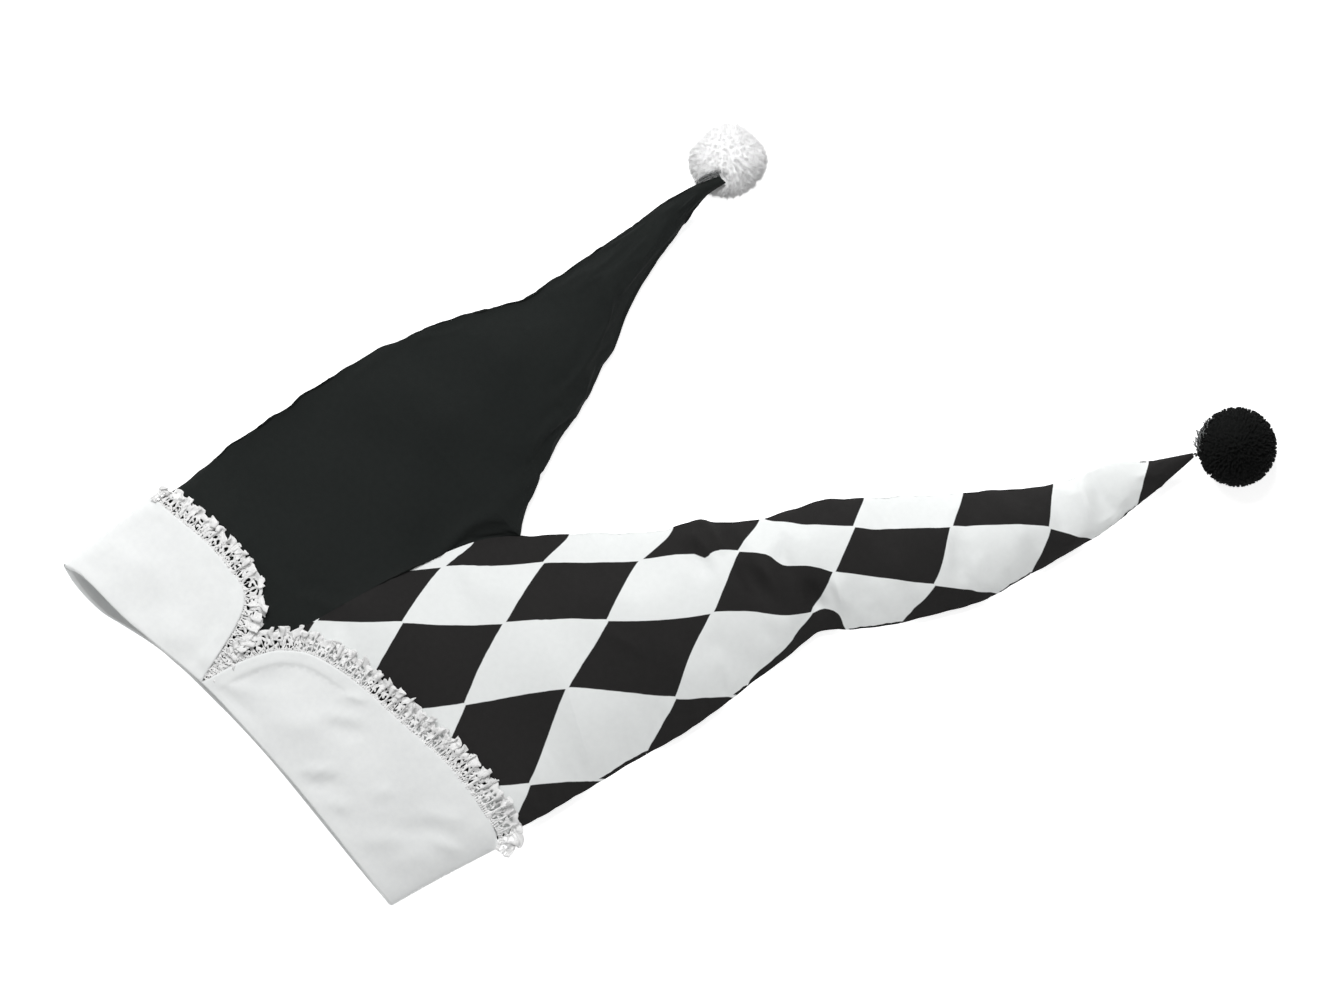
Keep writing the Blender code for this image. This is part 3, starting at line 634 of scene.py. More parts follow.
SEAM_ROLL = 3
# How far along its horn each half is cut into two pieces.
PIECE_CUT = 304.0


def evened(points, columns, junction):
    """Takes out the faint line where the crown's rows of points meet the horn's closer ones."""
    p = points.reshape(-1, columns, 3)
    r = np.arange(junction - JOIN_FADE, junction + JOIN_FADE)
    near = step_down(1 - np.abs(r - junction) / JOIN_FADE)[:, None]
    for _ in range(30):
        before = np.linalg.norm(p[r] - p[r - 1], axis=2) + 1e-6
        after = np.linalg.norm(p[r + 1] - p[r], axis=2) + 1e-6
        even = (p[r - 1, :, 2] * after + p[r + 1, :, 2] * before) / (before + after)
        p[r, :, 2] += 0.5 * near * (even - p[r, :, 2])
    return points


def cloth_half(colour, side, up, outer, inner, heights, first, last, creases, seed, material):
    stations, crown_count = half_stations(side, up, outer, inner, heights, first, last)
    rows, flat = half_skin(edge_pucker(stations, seed), seed, creases)
    count, columns = rows.shape[:2]
    points, faces = join_inner_edge(rows, crown_count)

    row, column = np.divmod(np.arange(count * columns), columns)
    middle = (columns - 1) // 2
    pinned = (points[:, 1] < CUFF_TOP) | (column == 0) | (column >= middle) | (row > count - 8)
    points = settled(colour, points, faces, pinned, growth=0.012, pressure=0.6, cap=3.0)
    points = evened(points, columns, crown_count)
    points[:, 2] = np.maximum(points[:, 2], CLEARANCE)
    normals = mesh_normals(points, faces)
    if normals[points[:, 2].argmax(), 2] < 0:
        faces = [tuple(reversed(f)) for f in faces]
        normals = -normals

    plan = flat.reshape(-1, 2)
    maps = {"cloth": plan * MM}
    if colour == "harlequin":
        maps["print"] = print_map(plan)
        white_there = np.floor(maps["print"]).sum(axis=1) % 2 == 1
        rolled = (column >= middle - SEAM_ROLL) & (column <= middle + 2)
        maps["print"][rolled & white_there, 0] += 1.0
    distance = (stations[:, 0:2] + stations[:, 2:4]) @ np.array(up) / 2
    cut = int(np.argmin(np.abs(distance - PIECE_CUT) + (stations[:, 8] < 0.999) * 1e3))
    pieces = []
    for name, in_upper in ((f"{colour}_half_cloth", False), (f"{colour}_horn_cloth", True)):
        part = [f for f in faces if (min(f) // columns >= cut) == in_upper]
        pieces.append(thick_object(name, points, normals, part, CLOTH, material, maps))
    return pieces, (points, faces)


def height_on(surface, u, v):
    hit = surface.ray_cast(Vector((u, v, 200.0)), Vector((0, 0, -1)))[0]
    return (hit or surface.find_nearest(Vector((u, v, 30.0)))[0]).z


# --- the cuff and its lining


CUFF_RISE = 3.4
LINING_DROP = 1.2
SIDE_Z = 14.0
BACK_Z = 0.5
CENTRE_BACK = -1.0
BACK_LINING_Z = 5.0
LINING_DEPTH = 36.0
SIDE_ROWS = 26
# How far in from the flap's free edge its rings of points lie.
FREE_RINGS = (0.5, 1.1, 1.9, 3.2, 5.0, 6.8, 8.4, 10.0)
# Cloth, facing and seam together: how thick each part of the cuff is.
FLAP_THICK, BACK_THICK, LINING_THICK = 1.5, 1.3, 0.9
# The raised, stitched band inside the flap's free edge, and that edge's roll.
BAND_WIDTH, BAND_RISE = 10.2, 1.4
EDGE_WIDTH, EDGE_DROP = 1.4, 0.9
# The gap between the mouth's rim and its lining, and how far the roll between them stands out.
RIM_GAP, RIM_ROLL = 1.5, 1.7
RIDGE = through([(-10, 39), (45, 39), (84, 37), (120, 33)])
SEAM_U = through([(v, u) for u, v in CENTRE_SEAM])
LINING_SIDE_LEFT = through([(-5, -143.5), (14, -142.6), (45, -139)])
LINING_SIDE_RIGHT = through([(-5, 141), (14, 144), (45, 152)])

RIGHT_CREASES = [
    (44, 11, 66, 38, 3.2, 2.0), (50, 10, 74, 34, 4.0, -1.3), (70, 11, 87, 27, 3.4, 1.6),
    (88, 37, 98, 54, 3.6, 1.5), (27, 66, 47, 80, 3.0, 1.3), (28, 49, 55, 70, 3.4, 1.5),
    (36, 47, 62, 66, 4.5, -1.2), (134, 46, 158, 56, 4, 1.6), (100, 8, 128, 40, 7, 1.6),
    (10, 20, 40, 52, 8, 1.2), (116, 52, 146, 72, 5, 1.2), (-20, 30, 8, 58, 6, -1.0),
    (-30, 16, -4, 34, 3.0, 1.1), (-28, 13, 8, 22, 3.2, -0.9), (108, 26, 140, 62, 5, -1.1),
    (128, 14, 142, 44, 7, 1.2),
]
LEFT_CREASES = [
    (-119, 53, -90, 27, 7, 1.0), (-112, 60, -80, 26, 8, -0.9), (-132, 38, -109, 13, 6, 0.9),
    (-96, 60, -72, 34, 9, -0.6), (-80, 20, -52, 26, 8, 0.6), (-128, 60, -112, 48, 6, 0.8),
]


def distance_to(points, line):
    """How far each place in the plan is from a line through points, and how far along it."""
    best = np.full(len(points), 1e9)
    along = np.zeros(len(points))
    total = 0.0
    for a, b in zip(line[:-1], line[1:]):
        step = np.linalg.norm(b - a)
        x = np.clip(((points - a) @ (b - a)) / step ** 2, 0, 1)
        far = np.linalg.norm(points - (a + x[:, None] * (b - a)), axis=1)
        nearer = far < best
        best = np.where(nearer, far, best)
        along = np.where(nearer, total + x * step, along)
        total += step
    return best, along


def inside_outline(points, outline):
    inside = np.zeros(len(points), dtype=bool)
    for (x0, y0), (x1, y1) in zip(outline, np.roll(outline, -1, axis=0)):
        crosses = (y0 > points[:, 1]) != (y1 > points[:, 1])
        at = (x1 - x0) * (points[:, 1] - y0) / (y1 - y0 + 1e-12) + x0
        inside ^= crosses & (points[:, 0] < at)
    return inside


class Welded:
    """Collects points and faces, and joins points that lie at the same place."""

    def __init__(self):
        self.places, self.points, self.plan, self.depth, self.faces = {}, [], [], [], []

    def add(self, point, plan, depth):
        key = tuple(np.round(np.asarray(point) / 0.02).astype(int))
        if key not in self.places:
            self.places[key] = len(self.points)
            self.points.append(list(point))
            self.plan.append(list(plan))
            self.depth.append(depth)
        return self.places[key]

    def face(self, corners, turned):
        corners = [c for i, c in enumerate(corners) if c != corners[i - 1]]
        if len(set(corners)) > 2:
            self.faces.append(tuple(corners[::-1] if turned else corners))

    def grid(self, points, plans, depth, turned):
        rows, columns = points.shape[:2]
        pairs = zip(points.reshape(-1, 3), plans.reshape(-1, 2))
        index = [self.add(point, plan, depth) for point, plan in pairs]
        for corners in grid_faces(rows, columns):
            self.face([index[i] for i in corners], turned)


def dome(height, t):
    return SIDE_Z + (height - SIDE_Z) * np.sin(np.pi * t / 2) ** ROUND


def side_rise(far):
    return np.maximum(0, 1 - np.abs(far) / RIM_WIDTH) ** 3


def flap_plan(side, side_at, free_edge):
    """The front flap in the plan: its points, triangles, free edge and bottom edge."""
    across = (1 - np.cos(np.pi * np.linspace(0, 1, 64) / 1.25)) / (1 - math.cos(math.pi / 1.25))
    across = across ** 1.25
    bottom_u = side[0, 0] + (NOTCH[0] - side[0, 0]) * across
    bottom = np.stack([bottom_u, through(FRONT_EDGE)(bottom_u)], axis=1)
    bottom[0], bottom[-1] = side[0], NOTCH
    free = resampled(free_edge, 1.6)
    free[0], free[-1] = side[-1], NOTCH
    outline = np.vstack([side[:-1], free[:-1], bottom[:0:-1]])

    tangent = unit_rows(np.gradient(free, axis=0))
    inward = np.stack([tangent[:, 1], -tangent[:, 0]], axis=1) * (1 if side[0, 0] < 0 else -1)
    inner = []
    for inset in FREE_RINGS:
        ring = free + inward * inset
        inner.append(ring[distance_to(ring, free)[0] > inset * 0.93])
    body = np.array([(side_at(v) + (SEAM_U(v) - side_at(v)) * t, v)
                     for v in np.arange(0, CUFF_TOP, 2.5) for t in across[1:-1]])
    inner = np.vstack([*inner, body[distance_to(body, free)[0] > 11.2]])
    inner = inner[inside_outline(inner, outline)]
    inner = inner[(distance_to(inner, bottom)[0] > 1.2) & (distance_to(inner, side)[0] > 0.05)]

    flat = [Vector(p) for p in np.vstack([outline, inner])]
    loop = [(i, (i + 1) % len(outline)) for i in range(len(outline))]
    made, _, triangles, *_ = delaunay_2d_cdt(flat, loop, [], 1, 1e-5)
    return np.array([(p.x, p.y) for p in made]), triangles, free, bottom


def flap_surface(plan, side, side_at, free, bottom, creases, seed):
    """Gives the flap's plan its height: dome, stitched band, swells, creases and a rolled edge."""
    u, v = plan.T
    side_u = side_at(v)
    z = dome(RIDGE(v) + CUFF_RISE, np.clip((u - side_u) / (SEAM_U(v) - side_u), 0, 1))
    side_far, low_far = (distance_to(plan, line)[0] for line in (side, bottom))
    free_far, along = distance_to(plan, free)
    z = np.where(side_far < 1e-3, SIDE_Z, z)
    calm = step_down(side_far / 12) * step_down(low_far / 8)
    corner = step_down((along / along.max() - 0.5) / 0.16)
    band = (0.08 + 0.92 * corner) * step_down((BAND_WIDTH - free_far) / 3.0) * step_down(low_far / 14)
    z = z + BAND_RISE * band + (0.7 * waves(u, v, 46, seed) + 0.1 * waves(u, v, 17, seed + 3)) * calm
    rolled = np.clip(1 - free_far / EDGE_WIDTH, 0, 1)
    z = z - EDGE_DROP * (1 - np.sqrt(1 - rolled ** 2)) * step_down(side_far / 3)
    smooth = np.column_stack([plan, z])
    hold = (step_down(side_far / 6) * step_down(low_far / 5) * step_down(free_far / 4))[:, None]
    return smooth * (1 - hold) + creased(smooth.copy(), creases) * hold


def back_panel(side, seed):
    """The cuff's back, as rows of points from the side to the centre."""
    back_edge, back_top = through(BACK_EDGE), through(BACK_TOP)
    x = np.linspace(0, 1, 44) ** 1.5
    rows = []
    for f, (su, sv) in zip(np.linspace(0, 1, SIDE_ROWS), side):
        u = su + (CENTRE_BACK - su) * x
        v = (1 - f) * back_edge(u) + f * back_top(u)
        v[0] = sv
        z = BACK_Z + (SIDE_Z - BACK_Z) * side_rise(u - su)
        z = z + 0.125 * (1 + waves(u, v, 50, seed + 8)) * step_down(np.abs(u - su) / 25)
        rows.append(np.stack([u, v, z], axis=1))
    back = np.array(rows)
    back[:, 0, 2] = SIDE_Z
    return back


def lining_sheet(rim, is_front, side_u, lining_side):
    """The lining in rows of points: it rolls over at the mouth's rim and goes into the hat."""
    part = np.abs(rim[:, 0] - side_u)
    part = part / part[-1]
    lined = []
    for depth in np.linspace(0, 1, 11):
        v = rim[:, 1] + RIM_GAP + (LINING_DEPTH - rim[:, 1] - RIM_GAP) * depth
        edge = lining_side(v)
        u = edge + ((SEAM_U(v) if is_front else CENTRE_BACK) - edge) * part
        if is_front:
            z = dome(RIDGE(v) - LINING_DROP, part)
        else:
            z = BACK_LINING_Z + (SIDE_Z - BACK_LINING_Z) * side_rise(u - edge)
        lined.append(np.stack([u, v, z], axis=1))
    roll = [rim]
    middle = (rim + lined[0]) / 2
    for angle in np.linspace(0, math.pi, 8)[1:-1]:
        turn = middle + (rim - middle) * math.cos(angle)
        turn[:, 1] -= RIM_ROLL * math.sin(angle)
        roll.append(turn)
    return np.array(roll + lined)


def cuff_half(side_line, free_edge, creases, lining_side, seed):
    """Half of the cuff: front flap, side, half the back, and the lining it is folded from."""
    side = spline(side_line, np.linspace(0, len(side_line) - 1, SIDE_ROWS))
    side_at = through([(v, u) for u, v in side_line])
    left = side[0, 0] < 0
    shape = Welded()
    plan, triangles, free, bottom = flap_plan(side, side_at, free_edge)
    solid = flap_surface(plan, side, side_at, free, bottom, creases, seed)
    index = [shape.add(p, q, FLAP_THICK) for p, q in zip(solid, plan)]
    for triangle in triangles:
        (au, av), (bu, bv), (cu, cv) = (plan[i] for i in triangle)
        shape.face([index[i] for i in triangle], (bu - au) * (cv - av) - (bv - av) * (cu - au) < 0)
    flap_faces = len(shape.faces)

    back = back_panel(side, seed)
    shape.grid(back, back[..., :2], BACK_THICK, left)
    front_rim = np.array([solid[np.argmin(np.abs(plan - q).sum(axis=1))] for q in bottom])
    for rim, is_front in ((front_rim, True), (back[0], False)):
        sheet = lining_sheet(rim, is_front, side[0, 0], lining_side)
        maps = sheet[..., :2] + np.array([0.0, 40.0])
        maps[0] = rim[:, :2]
        shape.grid(sheet, maps, LINING_THICK, left == is_front)
    return np.array(shape.points), np.array(shape.plan), np.array(shape.depth), shape.faces, flap_faces


def neighbour_sums(pairs, values):
    """For each point, the sum of values over the points it is joined to, and their number."""
    total, count = np.zeros(values.shape), np.zeros(len(values))
    for a, b in ((0, 1), (1, 0)):
        np.add.at(total, pairs[:, a], values[pairs[:, b]])
        np.add.at(count, pairs[:, a], 1)
    return total, count


def smooth_depth(faces, depth):
    """Lets the cloth's thickness change gently from piece to piece."""
    pairs = np.array([(a, b) for f in faces for a, b in zip(f, f[1:] + f[:1])])
    for _ in range(6):
        total, count = neighbour_sums(pairs, depth)
        depth = 0.5 * depth + 0.5 * total / count
    return depth[:, None]


def fold_with_corner(piece, side):
    """Bakes a piece's placing into its mesh; the corner fold's direction across it is worked out but not
    used.
    """
    (u, v), (du, dv) = CORNER_FOLDS[side]
    across = np.array([-dv, du, 0.0])
    across = across / np.linalg.norm(across) * CORNER_BEND
    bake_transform(piece)


def cuff(material):
    pieces = {}
    for side, line, free, creases, lining_side, seed in (
        ("left", CUFF_SIDE_LEFT, LEFT_FREE, LEFT_CREASES, LINING_SIDE_LEFT, 3),
        ("right", CUFF_SIDE_RIGHT, RIGHT_FREE, RIGHT_CREASES, LINING_SIDE_RIGHT, 7),
    ):
        points, plan, depth, faces, flap_faces = cuff_half(line, free, creases, lining_side, seed)
        depth = smooth_depth(faces, depth)
        normals = mesh_normals(points, faces)
        pieces[side] = [
            thick_object(f"{side}_cuff_{name}", points, normals, part, depth, material, {"cloth": plan * MM})
            for name, part in (("flap", faces[:flap_faces]), ("back_and_lining", faces[flap_faces:]))]
        fold_with_corner(pieces[side][0], side)
        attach(pieces[side][1], "hat")
    return pieces


# --- the lace


LACE_STEP = 0.5
LACE_WIDTH = 13.0
LACE_THICK = 0.4
GATHER = 1.7
NET_PITCH, FLOWER_PITCH, LOOP_PITCH, HOLE_PITCH = 2.2, 11.0, 1.85, 2.3
# Lengths of flat lace from one gather to the next and from one change of gather to the next.
GATHER_PITCH, CHANGE_PITCH = 11.0, 9.0
# How far the lace's sewn edge lies under the cuff.
LACE_UNDER = 1.6


def from_middle(x, pitch):
    """How far each place is from the middle of its own repeat."""
    return x - (np.floor(x / pitch) + 0.5) * pitch


def lace_pattern(x, y):
    """True where the flat lace has thread: header, net, flowers and a scalloped, looped edge."""
    thread = np.zeros(x.shape, dtype=bool)
    x, y = x + 0.5 * waves(x, y, 7.0, 21), y + 0.35 * waves(x, y, 6.0, 22) * np.clip(y / 3, 0, 1)
    for slope in (1, -1):
        line = np.abs(((x + slope * y) / NET_PITCH) % 1.0 - 0.5) * NET_PITCH
        thread |= line < 0.4
    dx, dy = from_middle(x, FLOWER_PITCH), y - 6.0
    r, a = np.hypot(dx, dy), np.arctan2(dy, dx)
    petal = np.abs(np.sin(3 * a)) ** 0.6 * 3.4
    flower = r < petal
    clear = (r < 4.3) & ~flower & (np.abs(((a / math.pi) * 3) % 1.0 - 0.5) > 0.1)
    thread = (thread & ~clear) | (flower & (r > 0.75)) | (np.abs(r - 4.3) < 0.45)
    half = from_middle(x, FLOWER_PITCH / 2)
    scallop = 10.6 + 1.1 * np.cos(half / (FLOWER_PITCH / 2) * math.pi)
    eyelet = np.hypot(half, y - 9.6) < 0.62
    thread |= (np.abs(y - scallop) < 0.55) | ((np.abs(y - scallop + 1.4) < 0.9) & ~eyelet)
    ring = np.hypot(from_middle(x, LOOP_PITCH), y - scallop - 0.75)
    thread |= (ring < 0.85) & (ring > 0.3) & (y > scallop)
    thread &= (y < scallop + 0.55) | ((ring < 0.85) & (y > scallop))
    header = (y < 2.0) & ~(np.hypot(from_middle(x, HOLE_PITCH), y - 1.1) < 0.55)
    return thread & (y > 2.0) | header


def flat_lace(length):
    """The flat lace as quads wherever it has thread: their corners, along and across, and faces."""
    nx, ny = int(length / LACE_STEP), int(LACE_WIDTH / LACE_STEP)
    cx, cy = np.meshgrid((np.arange(nx) + 0.5) * LACE_STEP, (np.arange(ny) + 0.5) * LACE_STEP,
                         indexing="ij")
    i, j = np.nonzero(lace_pattern(cx, cy))
    a = i * (ny + 1) + j
    faces = np.stack([a, a + ny + 1, a + ny + 2, a + 1], axis=1)
    used, index = np.unique(faces, return_inverse=True)
    faces = index.reshape(faces.shape)
    spots = np.stack(np.divmod(used, ny + 1), axis=1) * LACE_STEP

    directed = np.concatenate([faces[:, [k, (k + 1) % 4]] for k in range(4)])
    key, turned = directed @ (len(used), 1), directed @ (1, len(used))
    rim = directed[~np.isin(key, turned)]
    for _ in range(3):
        pull, count = neighbour_sums(rim, spots)
        on_rim = count > 0
        spots[on_rim] = 0.45 * spots[on_rim] + 0.55 * pull[on_rim] / count[on_rim][:, None]
    return spots[:, 0], spots[:, 1], faces


def lace_strip(name, path, outwards, inner_z, outer_z, widths, seed, material):
    """Lace gathered along a path in the plan, lying from the cuff's edge outwards."""
    curve = resampled(path, 1.0)
    length = distances_along(curve)
    total = length[-1]
    tangent = unit_rows(np.gradient(curve, axis=0))
    away = np.stack([-tangent[:, 1], tangent[:, 0]], axis=1) * outwards
    kernel = np.ones(9) / 9
    away = [np.convolve(np.pad(part, 4, "edge"), kernel, "valid") for part in away.T]
    away = unit_rows(np.stack(away, axis=1))
    x, y, faces = flat_lace(total * GATHER)

    rng = np.random.default_rng(seed)
    knots = np.arange(-2, total * GATHER / CHANGE_PITCH + 4)
    jitter = rng.uniform(-0.4, 0.4, len(knots))
    height = rng.uniform(0.35, 1.5, len(knots))
    phase = 2 * math.pi * np.interp(x / GATHER_PITCH, knots, knots + jitter)
    strength = np.interp(x / CHANGE_PITCH, knots, height)
    out = np.clip(y / LACE_WIDTH, 0, 1)
    s = np.clip(x / GATHER + 1.8 * out ** 1.2 * strength * np.sin(2 * phase), 0, total)
    at, wide = zip((0, widths[0][1]), *widths, (total, widths[-1][1]))
    width = np.interp(s, at, wide)
    uneven = 1 + 0.10 * np.sin(phase * 0.7 + 1.0) * strength
    reach = (width + LACE_UNDER) * out * uneven - LACE_UNDER
    place, direction, along = (at_distances(s, length, rows) for rows in (curve, away, tangent))
    crumple = waves(x, y, 6.5, seed + 1)
    plan = place + direction * reach[:, None]
    plan += along * (out * (0.5 * strength * np.cos(phase) + 0.9 * crumple))[:, None]
    plan += direction * (0.8 * out * waves(x, y, 8.0, seed + 2) * width / LACE_WIDTH)[:, None]
    wave = (0.5 + 3.2 * out ** 1.1) * strength * 0.5 * (1 + np.sin(phase))
    wave += 0.9 * out * (1 + waves(x, y, 5.5, seed + 3)) + 0.25 * (1 + crumple)
    wave *= width / max(w[1] for w in widths)
    blend = step_down(out * 1.3)
    z = inner_z(place) * (1 - blend) + outer_z(plan) * blend + wave + 0.25 * np.sin(x * 2.4) * (1 - out)
    points = np.column_stack([plan, z])
    faces = faces.tolist()
    normals = mesh_normals(points, faces)
    if normals[:, 2].mean() < 0:
        faces, normals = [f[::-1] for f in faces], -normals
    body, _, body_faces = shell(points, normals, faces, LACE_THICK)
    strand = np.tile(np.column_stack([x, y]), (2, 1)) * MM
    return make_object(name, body, body_faces, material, {"strand": strand})


def lace(material, black_skin, harlequin_skin):
    offset = len(black_skin[0])
    crown = BVHTree.FromPolygons(
        [Vector(p) for p in (*black_skin[0], *harlequin_skin[0])],
        [list(f) for f in black_skin[1]] + [[i + offset for i in f] for f in harlequin_skin[1]])

    def on_crown(clearance):
        return lambda there: np.array([height_on(crown, *p) for p in there]) + clearance

    def level(height):
        return lambda there: np.full(len(there), height)

    made = {}
    for side, path, outwards, inner_z, outer_z, widths, seed in (
        ("left", [(-142.3, 69), *LEFT_FREE[1:9], (-36.9, 13.6)], 1, on_crown(1.9), on_crown(0.9),
         [(0, 9), (14, 14), (112, 14), (132, 12), (148, 9), (158, 5)], 5),
        ("right", [(168.6, 71), (166.8, 77), (160, 81.2), *RIGHT_FREE[1:13], (-35.2, 13.8)], -1,
         on_crown(1.9), on_crown(0.9),
         [(0, 8), (8, 13), (20, 17), (60, 15), (200, 14), (228, 12), (250, 8), (262, 5)], 9),
        ("back", [(-128, 70.4), (-60, 72), (0, 73), (80, 74.5), (154, 74.6)], 1,
         level(0.9), level(0.45), [(0, 11), (280, 11)], 13),
    ):
        piece = lace_strip(f"{side}_lace_ruffle", path, outwards, inner_z, outer_z, widths, seed, material)
        if side == "back":
            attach(piece, "hat")
        else:
            fold_with_corner(piece, side)
        made[side] = piece
    return made


# --- the pompoms


def ball_core(name, centre, radii, seed, material, bump, press=None, glow=0.0):
    """The dense middle of a pompom: a ball with a rough surface."""
    rows, columns = 62, 96
    theta = np.linspace(0, math.pi, rows + 2)[1:-1, None]
    phi = np.linspace(0, 2 * math.pi, columns, endpoint=False)[None, :]
    unit = np.stack([np.sin(theta) * np.cos(phi), np.sin(theta) * np.sin(phi),
                     np.cos(theta) * np.ones_like(phi)], axis=2).reshape(-1, 3)
    rough = waves(unit[:, 0] * 10 + unit[:, 2] * 7, unit[:, 1] * 10 - unit[:, 2] * 5, 3.0, seed)
    points = np.vstack([unit * (1 + bump * rough)[:, None], [[0, 0, 1], [0, 0, -1]]]) * np.array(radii)
    points = (points if press is None else press(points)) + centre
    last, top, bottom = (rows - 1) * columns, rows * columns, rows * columns + 1
    faces = []
    for c in range(columns):
        d = (c + 1) % columns
        faces += [(r + c, r + columns + c, r + columns + d, r + d) for r in range(0, last, columns)]
        faces += [(top, c, d), (bottom, last + d, last + c)]
    core = make_object(name, points, faces, material, {"strand": points[:, :2] * MM})
    return shaded_by(core, mesh_normals(points, faces) + np.array([0, 0, glow])) if glow else core


STRAND_RINGS = 3
ROUND_SHARE = 0.3
TUFT_PULL = 0.55
TUFT_ROUND = 5.0
# How much the white fluff is lit as if it faced up, as light gets through its fine fibres.
WHITE_GLOW = 0.7
# How far the white pompom's uneven trim reaches, every 45 degrees round from the mouth's side.
WHITE_TRIM = (0.91, 1.0, 0.89, 0.94, 0.88, 1.0, 1.0, 0.94)
# The underside of the black horn's end, which presses a channel into the white pompom.
HORN_UNDERSIDE = through([(430, 10), (440, 16), (447, 21), (460, 34.5), (467, 40), (480, 41)])
HORN_GAP, CHANNEL_REACH, CHANNEL_SLOPE = 0.6, 9.0, 5.0
HORN_END = np.array([(-39.0, 462.5), (-42.5, 450), (-47, 436)])


def even_directions(count, rng):
    k = np.arange(count) + 0.5
    phi = np.arccos(1 - 2 * k / count)
    theta = math.pi * (1 + 5 ** 0.5) * k
    unit = np.stack([np.cos(theta) * np.sin(phi), np.sin(theta) * np.sin(phi), np.cos(phi)], axis=1)
    return unit_rows(unit + rng.normal(0, 1.2 / math.sqrt(count), unit.shape))


def ring_round(across, other, sides):
    """Directions of a strand's corners round each of its points."""
    angle = 2 * math.pi * np.arange(sides)[:, None] / sides
    return across[:, None] * np.cos(angle) + other[:, None] * np.sin(angle)


def fur(name, centre, radii, root, count, thick, sides, bend, spread, seed, material, floor,
        press=None, crowding=2.0, glow=0.0, tufts=0):
    """A ball of strands from near the middle to its surface, as closed tapering tubes."""
    rng = np.random.default_rng(seed)
    unit = even_directions(count, rng)
    reach = 1 - spread * rng.random(count) ** crowding
    across = unit_rows(np.cross(unit, rng.normal(0, 1, unit.shape)))
    lean = across * rng.uniform(0, bend, count)[:, None]
    tilt = np.zeros_like(unit)
    if tufts:
        middles = even_directions(tufts, rng)
        own_tuft = np.concatenate([np.argmax(part @ middles.T, axis=1) for part in np.array_split(unit, 16)])
        off = middles[own_tuft] - unit
        lean = lean + off * TUFT_PULL
        tilt = -off * TUFT_ROUND
        reach = reach + rng.uniform(-0.05, 0.03, tufts)[own_tuft]
    ring = ring_round(across, np.cross(unit, across), sides)
    points = []
    for f in np.linspace(0, 1, STRAND_RINGS):
        middle = (unit * (root + (reach - root) * f)[:, None] + lean * f ** 1.8) * np.array(radii)
        middle = (middle if press is None else press(middle)) + centre
        middle[:, 2] = np.maximum(middle[:, 2], floor)
        # A three-sided fibre runs to a point, and a thicker yarn ends blunt.
        size = 1 - 0.85 * f if sides == 3 else (0.75 + 0.25 * f) * (0.72 if f == 1 else 1.0)
        points.append(middle[:, None] + ring * (thick * size))
    points = np.stack(points, axis=1).reshape(-1, 3)
    points[:, 2] = np.maximum(points[:, 2], 0.15)

    per = STRAND_RINGS * sides
    base = np.arange(count)[:, None] * per
    corner = np.arange(sides)
    faces = []
    for k in range(STRAND_RINGS - 1):
        for n in corner:
            m = (n + 1) % sides
            faces += (base + k * sides + np.array([n, m, sides + m, sides + n])).tolist()
    faces += (base + per - sides + corner).tolist() + (base + corner[::-1]).tolist()
    along = np.tile(np.repeat(np.arange(STRAND_RINGS) / STRAND_RINGS, sides), count)
    maps = np.stack([np.repeat(rng.random(count), per), along * 0.02], axis=1)
    obj = make_object(name, points, faces, material, {"strand": maps})
    own = np.tile(ring, (1, STRAND_RINGS, 1)).reshape(-1, 3)
    return shaded_by(obj, (points - centre) / radii[0] + own * ROUND_SHARE + np.array([0, 0, glow])
                     + np.repeat(tilt, per, axis=0))


def tube(points, radius, sides):
    """Points and faces of a closed thread along a smooth line."""
    line = resampled(points, max(radius, 0.4))
    tangent = unit_rows(np.gradient(line, axis=0))
    across = unit_rows(np.cross(tangent, [0.13, 0.21, 0.97]))
    solid = (line[:, None] + ring_round(across, np.cross(tangent, across), sides) * radius).reshape(-1, 3)
    last = len(solid) - sides
    faces = []
    for r in range(0, last, sides):
        for c in range(sides):
            d = (c + 1) % sides
            faces.append((r + c, r + d, r + sides + d, r + sides + c))
    return solid, faces + [tuple(range(sides))[::-1], tuple(range(last, last + sides))]


def tubes(name, lines, radius, material, sides=6):
    points, faces = np.zeros((0, 3)), []
    for line in lines:
        solid, loops = tube(line, radius, sides)
        faces += [tuple(len(points) + i for i in f) for f in loops]
        points = np.vstack([points, solid])
    return make_object(name, points, faces, material, {"strand": points[:, :2] * MM})


def loose_loops(centre, radius, seed, count):
    """Strands that lie along the ball on the side towards its horn, some with free ends."""
    rng = np.random.default_rng(seed)
    lines = []
    for _ in range(count):
        angle = math.radians(rng.uniform(182, 236))
        lift, turn, rise = rng.uniform(-0.1, 0.45), rng.uniform(-0.4, 0.1), rng.uniform(-0.25, 0.3)
        free = rng.uniform(0.06, 0.2) * (rng.random() < 0.6)
        f = np.linspace(0, 1, 7)
        a, b = angle + turn * f, lift + rise * f
        out = radius * (0.955 + 0.07 * np.sin(math.pi * f) + free * f ** 3)
        round_ball = np.stack([np.cos(a) * np.cos(b), np.sin(a) * np.cos(b), np.sin(b)], axis=1)
        lines.append(centre + out[:, None] * round_ball)
    return lines


def riding(piece, body, slot, *nodes):
    """Says which body a piece rides and hides the CAD nodes that it stands for; its slot is not used."""
    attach(piece, body)
    if nodes:
        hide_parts(*nodes)
    return piece


